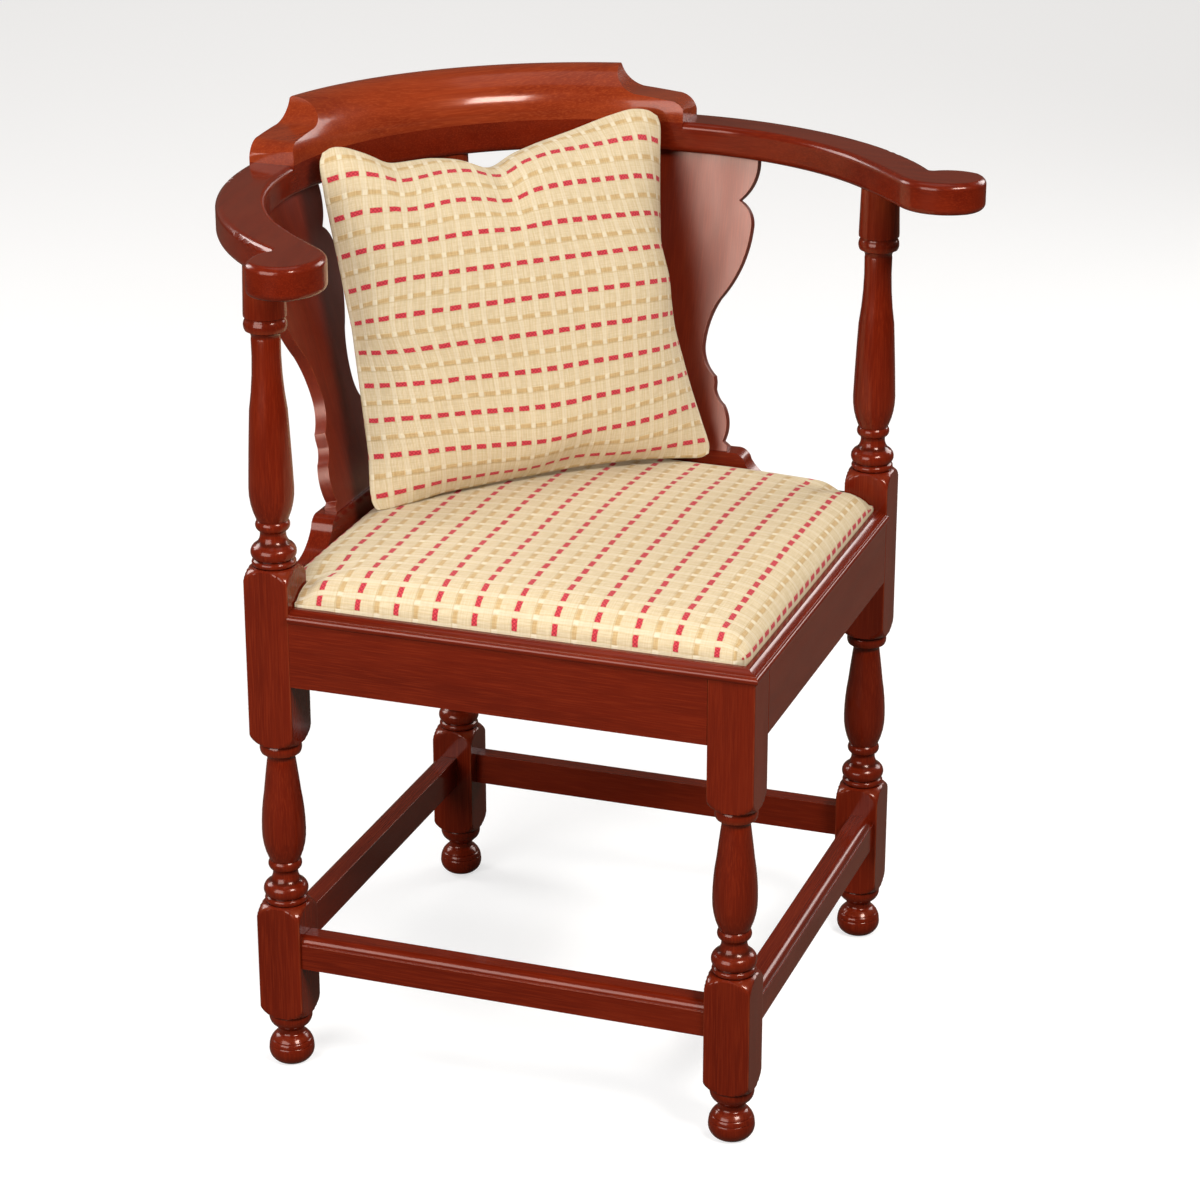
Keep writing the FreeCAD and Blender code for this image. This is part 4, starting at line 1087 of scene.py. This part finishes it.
@dataclass
class SeatCushion:
    """The drop-in seat's crowned, striped cover.

    Its square frame has the front corner at +X, -Y. The ripples' height is in millimetres.
    """

    side_top: float = 14.0 * MM
    crown_top: float = 44.5 * MM
    round_width: float = 28.0 * MM
    round_share: float = 0.78
    edge_share: float = 0.03
    edge_powers: tuple = (2.4, 0.62)
    corner_radius: float = 14.0 * MM
    post_gap: float = 1.2 * MM
    block_inner: float = 183.0 * MM
    cell: float = 4.2 * MM
    first_row: float = -160.0 * MM
    dip: float = 9.0 * MM
    dip_reach: float = 30.0 * MM
    calm_edge: float = 40.0 * MM
    ripple_height: float = 0.7
    held_height: float = 1.0 * MM
    corner_band: float = 12.0 * MM
    fine_steps: int = 1200
    hem_steps: tuple = (10.5 * MM, 6.0 * MM)

    def __post_init__(self) -> None:
        """Find the cushion's edges and levels from the frame."""
        self.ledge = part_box("seat_rail_front_left")[1].z
        self.top_edge = self.ledge + self.side_top
        self.notch = self.block_inner - self.post_gap
        self.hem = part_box("seat_cover")[0].z + 0.6 * MM
        self.centre = (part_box("leg_front")[0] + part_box("leg_back")[1]) / 2
        self.centre.z = 0.0
        self.turn = Matrix.Rotation(math.radians(-45.0), 3, "Z")
        local = np.array([self.turn.transposed() @ (Vector(v) - self.centre)
                          for v in vertex_places(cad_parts["seat_cover"].data)])
        self.low, self.high = local[:, :2].min(0), local[:, :2].max(0)

    def share(self, distance: np.ndarray, half: float) -> np.ndarray:
        """Find the share of the crown's height at a distance in from an edge.

        Args:
            distance: The distances in from the edge.
            half: Half the cushion's width.

        Returns:
            The shares, from about 0 to 1.
        """
        left = (half - distance) / (half - self.round_width)
        rest = np.clip(1.0 - distance / self.round_width, 0.0, 1.0)
        rise = np.maximum(1.0 - rest ** self.edge_powers[0], 0.0) ** self.edge_powers[1]
        return np.where(distance >= self.round_width, 1.0 - (1.0 - self.round_share) * left ** 2,
                        self.edge_share + (self.round_share - self.edge_share) * rise)

    def lines(self, low: float, high: float) -> np.ndarray:
        """Place the mesh lines between two edges, with lines at the post notches.

        Args:
            low: The lower edge.
            high: The upper edge.

        Returns:
            The places in rising order.
        """
        marks = [low, -self.notch, self.notch, high]
        result = [low]
        for start, end in zip(marks, marks[1:]):
            count = max(2, round((end - start) / self.cell))
            result += [start + (end - start) * step / count for step in range(1, count + 1)]
        for part in (0.02, 0.06):
            result += [low + self.round_width * part, high - self.round_width * part]
        return np.array(sorted(result))

    def height(self, x: np.ndarray, y: np.ndarray) -> np.ndarray:
        """Find the cushion's height above the floor.

        Args:
            x: The local X values.
            y: The local Y values.

        Returns:
            The heights.
        """
        half = (self.high - self.low) / 2
        in_x = np.minimum(x - self.low[0], self.high[0] - x)
        in_y = np.minimum(y - self.low[1], self.high[1] - y)
        crown = self.share(np.clip(in_x, 0.0, None), half[0]) * self.share(np.clip(in_y, 0.0, None), half[1])
        level = self.top_edge + (self.crown_top - self.side_top) * crown
        for sign_x, sign_y in ((-1, -1), (1, 1), (-1, 1)):
            away = np.hypot(np.maximum(self.notch - x * sign_x, 0.0),
                            np.maximum(self.notch - y * sign_y, 0.0))
            level -= self.dip * (1.0 - smooth_step(0.0, self.dip_reach, away)) ** 2
        return np.maximum(level, self.top_edge)

    def arc_length(self, places: np.ndarray, axis: int) -> np.ndarray:
        """Measure how far along the cloth each mesh line lies from the middle.

        Args:
            places: The places of the lines.
            axis: Which coordinate they are places of.

        Returns:
            The distances along the cloth, with the middle at the local zero.
        """
        fine = np.linspace(self.low[axis], self.high[axis], self.fine_steps)
        rise = self.height(*((fine, fine * 0.0) if axis == 0 else (fine * 0.0, fine)))
        length = np.concatenate([[0.0], np.cumsum(np.hypot(np.diff(fine), np.diff(rise)))])
        return np.interp(places, fine, length - np.interp(0.0, fine, length))

    def grid(self) -> bpy.types.Mesh:
        """Make the cushion's top as a grid with its post notches left out.

        Returns:
            The mesh, in local places, with the cloth places of its vertices.
        """
        xs, ys = (self.lines(self.low[axis], self.high[axis]) for axis in (0, 1))
        x, y = np.meshgrid(xs, ys, indexing="ij")
        z = self.height(x, y)
        cloth = [*np.meshgrid(self.arc_length(xs, 0), self.arc_length(ys, 1), indexing="ij"), x * 0.0]
        middle = np.array([self.high[0] - self.corner_radius, self.low[1] + self.corner_radius])
        over = np.stack([x - middle[0], middle[1] - y], 2)
        corner = (over > 0.0).all(2)
        scale = np.where(corner, over.max(2) / np.maximum(np.linalg.norm(over, axis=2), TINY), 1.0)
        x = np.where(corner, middle[0] + over[:, :, 0] * scale, x)
        y = np.where(corner, middle[1] - over[:, :, 1] * scale, y)
        cell_x, cell_y = np.meshgrid((xs[1:] + xs[:-1]) / 2, (ys[1:] + ys[:-1]) / 2, indexing="ij")
        beside = np.minimum(np.abs(cell_x), np.abs(cell_y)) > self.notch + 1e-6
        kept = ~beside | ((cell_x > 0.0) & (cell_y < 0.0))
        faces = quads(np.arange(x.size).reshape(x.shape))[kept.ravel()]
        mesh = bpy.data.meshes.new("seat_cushion")
        mesh.from_pydata(np.stack([x, y, z], 2).reshape(-1, 3).tolist(), [], faces.tolist())
        set_values(mesh, WEAVE, np.stack(cloth, 2).reshape(-1, 3))
        return mesh

    def turn_down(self, bm: bmesh.types.BMesh) -> None:
        """Carry the cushion's edge down to the hem, and its cloth with it.

        Args:
            bm: The mesh.
        """
        layer = bm.verts.layers.float_vector[WEAVE]
        edges = [edge for edge in bm.edges if edge.is_boundary]
        for level in (*(self.ledge + step for step in self.hem_steps), self.hem):
            made = bmesh.ops.extrude_edge_only(bm, edges=edges)["geom"]
            for vertex in [item for item in made if isinstance(item, bmesh.types.BMVert)]:
                drop, vertex.co.z = vertex.co.z - level, level
                reach = vertex[layer]
                size = max(abs(reach.x), abs(reach.y)) - self.corner_band
                if abs(reach.x) >= size:
                    reach.x += math.copysign(drop, reach.x)
                if abs(reach.y) >= size:
                    reach.y += math.copysign(drop, reach.y)
                vertex[layer] = reach
            edges = [item for item in made if isinstance(item, bmesh.types.BMEdge)]

    def build(self) -> bpy.types.Object:
        """Make the cushion.

        Returns:
            The cushion.
        """
        mesh = self.grid()
        with editing(mesh) as bm:
            bmesh.ops.delete(bm, geom=[v for v in bm.verts if not v.link_faces], context="VERTS")
            self.turn_down(bm)
            bmesh.ops.recalc_face_normals(bm, faces=bm.faces)
        piece = add_piece("seat_cushion", mesh, FINISHES.striped)
        sides = vertex_places(mesh)[:, 2] < self.top_edge + self.held_height
        ClothSettings(pressure=2.5, frames=10, cap=2.5 * MM).inflate(piece, sides)
        local = vertex_places(mesh)
        inwards = np.minimum(local[:, :2] - self.low, self.high - local[:, :2]).min(1)
        ripple = smooth_step(0.0, self.calm_edge, inwards) * waves(local[:, :2], seed=11, count=5, scale=0.16)
        local[:, 2] += np.where(local[:, 2] > self.top_edge, ripple * self.ripple_height * MM, 0.0)
        move_vertices(mesh, local @ np.array(self.turn).T + np.array(self.centre))
        cloth = read_rows(mesh.attributes[WEAVE].data, "vector")
        set_values(mesh, WEAVE, cloth[:, [1, 0, 2]] - np.array([0.0, self.first_row, 0.0]))
        with editing(mesh) as bm:
            bmesh.ops.edgeloop_fill(bm, edges=[edge for edge in bm.edges if edge.is_boundary])
        shade(mesh, 60.0)
        settle(piece, Body.SEAT, "striped_fabric", "seat_cover", "seat_pad")
        return piece


@dataclass
class SeatInside:
    """The hidden frame, webbing and lining of the drop-in seat."""

    def build(self) -> None:
        """Give the carried-over nodes their finishes."""
        for side in Side:
            paint("seat_frame_" + side.tag, FINISHES.raw)
        paint("seat_webbing", FINISHES.webbing)
        paint("seat_dust_cover", FINISHES.lining)


@dataclass
class Pillow:
    """The loose striped pillow that leans on the crest rail.

    Its own frame has X across, Y thick and Z up. Its drawn sides and the ripples' height are in
    millimetres, and pull is the share of the pillow that each side's pull stops at. A fold has its place
    across at a level, its slope, that level and its width, in metres.
    """

    width: float = 338.0 * MM
    height: float = 326.0 * MM
    thickness: float = 112.0 * MM
    lean: float = 18.4
    middle: tuple = (0.00425, 0.1452, 0.6125)
    corner_radius: float = 15.0 * MM
    cells: int = 68
    spare: float = 1.10
    belly: float = 6.0 * MM
    ripple_height: float = 0.5
    seam_gap: float = 1.0 * MM
    quick_power: float = 0.45
    quick_draw: float = 0.05
    dash_share: float = 1.066
    row_share: float = 1.106
    first_row: float = -26.2 * MM
    calm_rounds: int = 40
    blunt: float = 5.0 * MM
    blunt_reach: float = 12.0 * MM
    clearance: float = 2.6 * MM
    fold_depth: float = 4.0 * MM
    fold_start: float = 0.60
    folds: tuple = ((-0.104, 0.10, 0.14, 0.011), (-0.010, -0.16, 0.13, 0.012))
    pull: tuple = (0.55, 0.45, 0.50, 0.68)
    bend: int = 27
    overhang: float = 0.03
    fine_steps: int = 400
    left: tuple = ((-165, -167), (-128, -166), (-102, -162.5), (-48, -162), (6, -162), (60, -165.2),
                   (113, -169.5), (162, -170.5))
    right: tuple = ((-158, 172), (-130, 165.5), (-90, 157), (-47, 151), (-5, 144), (24, 145), (78, 151),
                    (106, 156), (162, 167))
    foot: tuple = ((-167, -165), (-143, -160), (-100, -152), (-35, -149), (35, -147), (90, -149),
                   (120, -153), (172, -159))
    top: tuple = ((-170, 162), (-145, 162), (-121, 152), (-105, 142), (-67, 143), (-40, 138), (-18, 128),
                  (-8, 127), (8, 137), (36, 144.5), (70, 152), (105, 161), (135, 167), (167, 162))

    def cover(self) -> tuple[bpy.types.Object, np.ndarray, np.ndarray]:
        """Make the flat, sewn cover.

        Returns:
            The piece, its flat places before the corners were rounded, and the vertex numbers of the
            front and the back, each as a grid.
        """
        count = self.cells + 1
        wide, high = self.width * self.spare, self.height * self.spare
        across, upward = (np.linspace(-0.5, 0.5, count) * side * self.spare
                          for side in (self.width, self.height))
        x, z = np.meshgrid(across, upward, indexing="ij")
        edge = np.ones((count, count), bool)
        edge[1:-1, 1:-1] = False
        ripple = waves(np.stack([x.ravel(), z.ravel()], 1), seed=5, count=6, scale=0.07).reshape(x.shape)
        swell = np.maximum(np.cos(np.pi * x / wide) * np.cos(np.pi * z / high), 0.0)
        rise = self.belly * swell + ripple * self.ripple_height * MM
        thick = np.where(edge, 0.0, self.seam_gap + rise)
        front, back = (np.stack([x, sign * thick, z], 2) for sign in (-1.0, 1.0))
        number = np.stack([np.arange(count ** 2).reshape(count, count)] * 2)
        number[1][~edge] = count ** 2 + np.arange((~edge).sum())
        mesh = bpy.data.meshes.new("pillow")
        mesh.from_pydata(np.concatenate([front.reshape(-1, 3), back[~edge]]).tolist(), [],
                         np.concatenate([quads(number[0]), quads(number[1])[:, ::-1]]).tolist())
        flat = vertex_places(mesh)
        half = flat.max(0)[[0, 2]] - self.corner_radius
        over = np.abs(flat[:, [0, 2]]) - half
        scale = over.max(1) / np.maximum(np.linalg.norm(over, axis=1), TINY)
        rounded = np.sign(flat[:, [0, 2]]) * (half + over * scale[:, None])
        cut = flat.copy()
        cut[:, [0, 2]] = np.where((over > 0.0).all(1)[:, None], rounded, flat[:, [0, 2]])
        move_vertices(mesh, cut)
        return add_piece("pillow", mesh, FINISHES.striped), flat, number

    def fill(self, piece: bpy.types.Object, flat: np.ndarray) -> np.ndarray:
        """Blow the cover up and bring it to the pillow's real size.

        Args:
            piece: The flat cover.
            flat: Its flat places.

        Returns:
            The places of the filled pillow, centred on its middle.
        """
        ClothSettings(pressure=5.0, frames=40, cap=0.2).inflate(piece)
        places = vertex_places(piece.data)
        middle, span = (places.min(0) + places.max(0)) / 2, np.ptp(places, 0)
        return (places - middle) * np.array([self.width, self.thickness, self.height]) / span

    def calm(self, places: np.ndarray, number: np.ndarray) -> np.ndarray:
        """Take the small wrinkles out of the filled pillow and keep its broad form.

        Args:
            places: The places of the filled pillow.
            number: The vertex numbers of the front and the back, each as a grid.

        Returns:
            The calmer places.
        """
        borders = [number[0][0], number[0][-1], number[0][:, 0], number[0][:, -1]]
        for _ in range(self.calm_rounds):
            for grid in number:
                sheet = places[grid]
                mean = (sheet[:-2, 1:-1] + sheet[2:, 1:-1] + sheet[1:-1, :-2] + sheet[1:-1, 2:]) / 4
                places[grid[1:-1, 1:-1]] += 0.5 * (mean - sheet[1:-1, 1:-1])
            for border in borders:
                seam = places[border]
                places[border[1:-1]] += 0.5 * ((seam[:-2] + seam[2:]) / 2 - seam[1:-1])
        return places

    def weave_places(self, places: np.ndarray, flat: np.ndarray, number: np.ndarray) -> np.ndarray:
        """Measure where each vertex lies on the cloth, along the filled pillow's own curve.

        Args:
            places: The places of the filled pillow.
            flat: The places on the flat cover.
            number: The vertex numbers of the front and the back, each as a grid.

        Returns:
            The places on the cloth.
        """
        middle = slice(self.cells // 4, -(self.cells // 4))
        result = np.zeros_like(flat)
        for axis, column, share in ((0, 0, self.dash_share), (1, 2, self.row_share)):
            front = number[0] if axis == 0 else number[0].T
            steps = np.linalg.norm(np.diff(places[front], axis=0), axis=2)[:, middle].mean(1)
            length = np.concatenate([[0.0], np.cumsum(steps)])
            along = np.interp(flat[:, column], flat[front[:, 0], column], length)
            result[:, axis] = (along - length[self.cells // 2]) * share
        result[:, 1] -= self.first_row
        return result

    def seam_line(self, places: np.ndarray, axis: int, chosen: np.ndarray) -> Callable:
        """Make a function that reads one side of the seam.

        Args:
            places: The places of the filled pillow.
            axis: The coordinate along the side, 0 or 2.
            chosen: The vertices on the side.

        Returns:
            The function, from the coordinate along the side to the one across it.
        """
        side = places[chosen]
        side = side[np.argsort(side[:, axis])]
        return lambda along: np.interp(along, side[:, axis], side[:, 2 - axis])

    def drawn_line(self, points: Sequence[tuple]) -> Callable:
        """Make a function that reads one side of the drawn outline, with soft bends.

        Args:
            points: Pairs of the place along the side and the place across it.

        Returns:
            The function, from the place along the side to the one across it.
        """
        along, across = np.array(points).T * MM
        fine = np.linspace(along[0] - self.overhang, along[-1] + self.overhang, self.fine_steps)
        kernel = np.hanning(self.bend)
        padded = np.pad(np.interp(fine, along, across), len(kernel) // 2, mode="edge")
        soft = np.convolve(padded, kernel / kernel.sum(), mode="valid")
        return lambda place: np.interp(place, fine, soft)

    def slump(self, places: np.ndarray, flat: np.ndarray) -> np.ndarray:
        """Bring the pillow's seam to its drawn outline, sunk at the top and drawn in at the sides.

        Args:
            places: The places of the filled pillow.
            flat: The places on the flat cover.

        Returns:
            The places after the slump.
        """
        low, high = flat.min(0), flat.max(0)
        seam = np.abs(flat[:, 1]) < 1e-7
        sides, ends = ([self.seam_line(places, 2 - axis, seam & (np.abs(flat[:, axis] - edge) < 1e-6))
                        for edge in (low[axis], high[axis])] for axis in (0, 2))
        x, z = places[:, 0], places[:, 2]
        across = (x - sides[0](z)) / (sides[1](z) - sides[0](z))
        upward = (z - ends[0](x)) / (ends[1](x) - ends[0](x))
        left, right, foot, top = map(self.drawn_line, (self.left, self.right, self.foot, self.top))
        x = x + (left(z) - sides[0](z)) * smooth_step(self.pull[0], 0.0, across)
        x = x + (right(z) - sides[1](z)) * smooth_step(self.pull[1], 1.0, across)
        z = z + (foot(x) - ends[0](x)) * smooth_step(self.pull[2], 0.0, upward)
        z = z + (top(x) - ends[1](x)) * smooth_step(self.pull[3], 1.0, upward)
        result = np.stack([x, places[:, 1], z], 1)
        away = high[[0, 2]] - np.abs(flat[:, [0, 2]])
        near = np.exp(-(away ** 2).sum(1) / self.blunt_reach ** 2)
        result[:, [0, 2]] -= np.sign(flat[:, [0, 2]]) * near[:, None] * self.blunt
        fold = sum(np.exp(-((x - start - slope * (level - z)) / width) ** 2)
                   for start, slope, level, width in self.folds)
        near_top = smooth_step(self.fold_start, 1.0, upward)
        result[:, 1] -= np.sign(places[:, 1]) * near_top * fold * self.fold_depth
        return result

    def place(self, places: np.ndarray) -> np.ndarray:
        """Lean the pillow back and bring it to its place in the chair."""
        turn = np.array(Matrix.Rotation(math.radians(-self.lean), 3, "X"))
        return places @ turn.T + np.array(self.middle)

    def keep_clear(self, places: np.ndarray, cushion: SeatCushion) -> np.ndarray:
        """Press the pillow's foot flat where it stands on the seat.

        Args:
            places: The places in the chair's frame.
            cushion: The seat below.

        Returns:
            The places clear of the seat.
        """
        local = (places - np.array(cushion.centre)) @ np.array(cushion.turn)
        ground = cushion.height(local[:, 0], local[:, 1]) + self.clearance
        above = (cushion.high - np.abs(local[:, :2])).min(1) > 0
        places[:, 2] = np.where(above, np.maximum(places[:, 2], ground), places[:, 2])
        return places

    def build(self, cushion: SeatCushion) -> bpy.types.Object:
        """Make the pillow.

        Args:
            cushion: The seat that it stands on.

        Returns:
            The pillow.
        """
        piece, flat, number = self.cover()
        places = self.calm(self.fill(piece, flat), number)
        places = self.keep_clear(self.place(self.slump(places, flat)), cushion)
        mesh = piece.data
        move_vertices(mesh, places)
        set_values(mesh, WEAVE, self.weave_places(places, flat, number))
        mesh.update()
        shade(mesh, 75.0)
        smoother = piece.modifiers.new("smoother", "SUBSURF")
        smoother.levels = smoother.render_levels = 1
        settle(piece, Body.PILLOW, "striped_fabric", "pillow_cover", "pillow_insert")
        return piece


@dataclass(frozen=True)
class Softbox:
    """One soft light: its place, what it points at, its width and height and its power in watts.

    A mirrored light shows in the lacquer.
    """

    name: str
    place: tuple
    aim: tuple
    size: tuple
    power: float
    colour: tuple = (1.0, 1.0, 1.0)
    mirrored: bool = True

    def hang(self) -> None:
        """Hang the light."""
        light = bpy.data.lights.new(self.name, "AREA")
        light.shape = "RECTANGLE"
        light.size, light.size_y = self.size
        light.energy, light.color = self.power, self.colour
        lamp = link(self.name, light)
        lamp.visible_glossy = self.mirrored
        lamp.location = self.place
        lamp.rotation_euler = (Vector(self.aim) - Vector(self.place)).to_track_quat("-Z", "Y").to_euler()


@dataclass
class Studio:
    """The pale floor, the soft lights and the camera.

    The shades of floor and room are those that the camera sees and those that are cast on the chair.
    """

    azimuth: float = -25.65
    elevation: float = 21.14
    distance: float = 2.944
    target: tuple = (0.0118, -0.0037, 0.3857)
    lens: float = 100.64
    sensor: float = 36.0
    floor_size: float = 9.0
    floor_seen: tuple = (0.46, 0.46, 0.46, 1.0)
    floor_glow: float = 0.60
    floor_cast: tuple = (0.128, 0.103, 0.082, 1.0)
    room_cast: tuple = (1.0, 0.82, 0.64, 1.0)
    room_power: float = 0.14
    lamps: tuple = (
        Softbox("key", (0.42, -2.05, 2.25), (0.0, 0.0, 0.5), (0.95, 0.6), 71.0, (1.0, 0.97, 0.93)),
        Softbox("side", (-1.93, -0.89, 1.20), (0.15, 0.15, 0.62), (1.6, 1.3), 50.0),
        Softbox("far", (1.5, 4.6, 3.3), (1.5, 4.6, 0.0), (5.0, 3.0), 46.0, mirrored=False),
        Softbox("top", (0.0, 0.2, 3.0), (0.0, 0.0, 0.4), (1.8, 1.8), 9.0),
        Softbox("back_left", (-1.6, 2.3, 1.9), (0.0, 0.0, 0.45), (1.2, 1.2), 38.0),
        Softbox("back_right", (2.5, 0.7, 1.6), (0.0, 0.0, 0.45), (1.2, 1.2), 30.0))

    def floor(self) -> None:
        """Lay the pale floor."""
        mesh = bpy.data.meshes.new("floor")
        with editing(mesh) as bm:
            bmesh.ops.create_grid(bm, x_segments=1, y_segments=1, size=self.floor_size)
        paper = bpy.data.materials.new("floor_paper")
        w = emptied(paper)
        matt = {"Roughness": 0.9, "Specular IOR Level": 0.0}
        glow = {"Emission Color": WHITE, "Emission Strength": self.floor_glow}
        seen = w.node("BsdfPrincipled", {"Base Color": self.floor_seen, **matt, **glow})
        cast = w.node("BsdfPrincipled", {"Base Color": self.floor_cast, **matt})
        w.surface("OutputMaterial", seen.outputs[0], cast.outputs[0])
        mesh.materials.append(paper)
        link("floor", mesh)

    def room(self) -> None:
        """Set the surround, which is white to the camera and dim and warm to the chair."""
        world = bpy.data.worlds.new("white_room")
        w = emptied(world)
        seen = w.node("Background", {"Color": WHITE, "Strength": 1.0})
        cast = w.node("Background", {"Color": self.room_cast, "Strength": self.room_power})
        w.surface("OutputWorld", seen.outputs[0], cast.outputs[0])
        bpy.context.scene.world = world

    def camera(self) -> None:
        """Set up the camera at the photograph's angle."""
        turn, rise = math.radians(self.azimuth), math.radians(self.elevation)
        back = Vector((math.sin(turn) * math.cos(rise), -math.cos(turn) * math.cos(rise), math.sin(rise)))
        data = bpy.data.cameras.new("camera")
        data.lens, data.sensor_width, data.clip_end = self.lens, self.sensor, 60.0
        data.sensor_fit = "HORIZONTAL"
        camera = link("camera", data)
        camera.location = Vector(self.target) + back * self.distance
        camera.rotation_euler = back.to_track_quat("Z", "Y").to_euler()
        bpy.context.scene.camera = camera

    def build(self) -> None:
        """Set the whole stage."""
        bpy.context.scene.view_settings.view_transform = "Standard"
        self.floor()
        self.room()
        for lamp in self.lamps:
            lamp.hang()
        self.camera()


def plain(bounds: Sequence) -> list[list[float]]:
    """Return a box's two corners as plain lists of numbers."""
    return [[float(value) for value in corner] for corner in bounds]


def main() -> None:
    """Build the chair and its stage."""
    logging.basicConfig(level=logging.INFO, format="%(name)s: %(message)s")
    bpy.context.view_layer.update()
    Studio().build()
    ChairFrame().build()
    cushion = SeatCushion()
    cushion.build()
    SeatInside().build()
    Pillow().build(cushion)


if __name__ == "__main__":
    main()
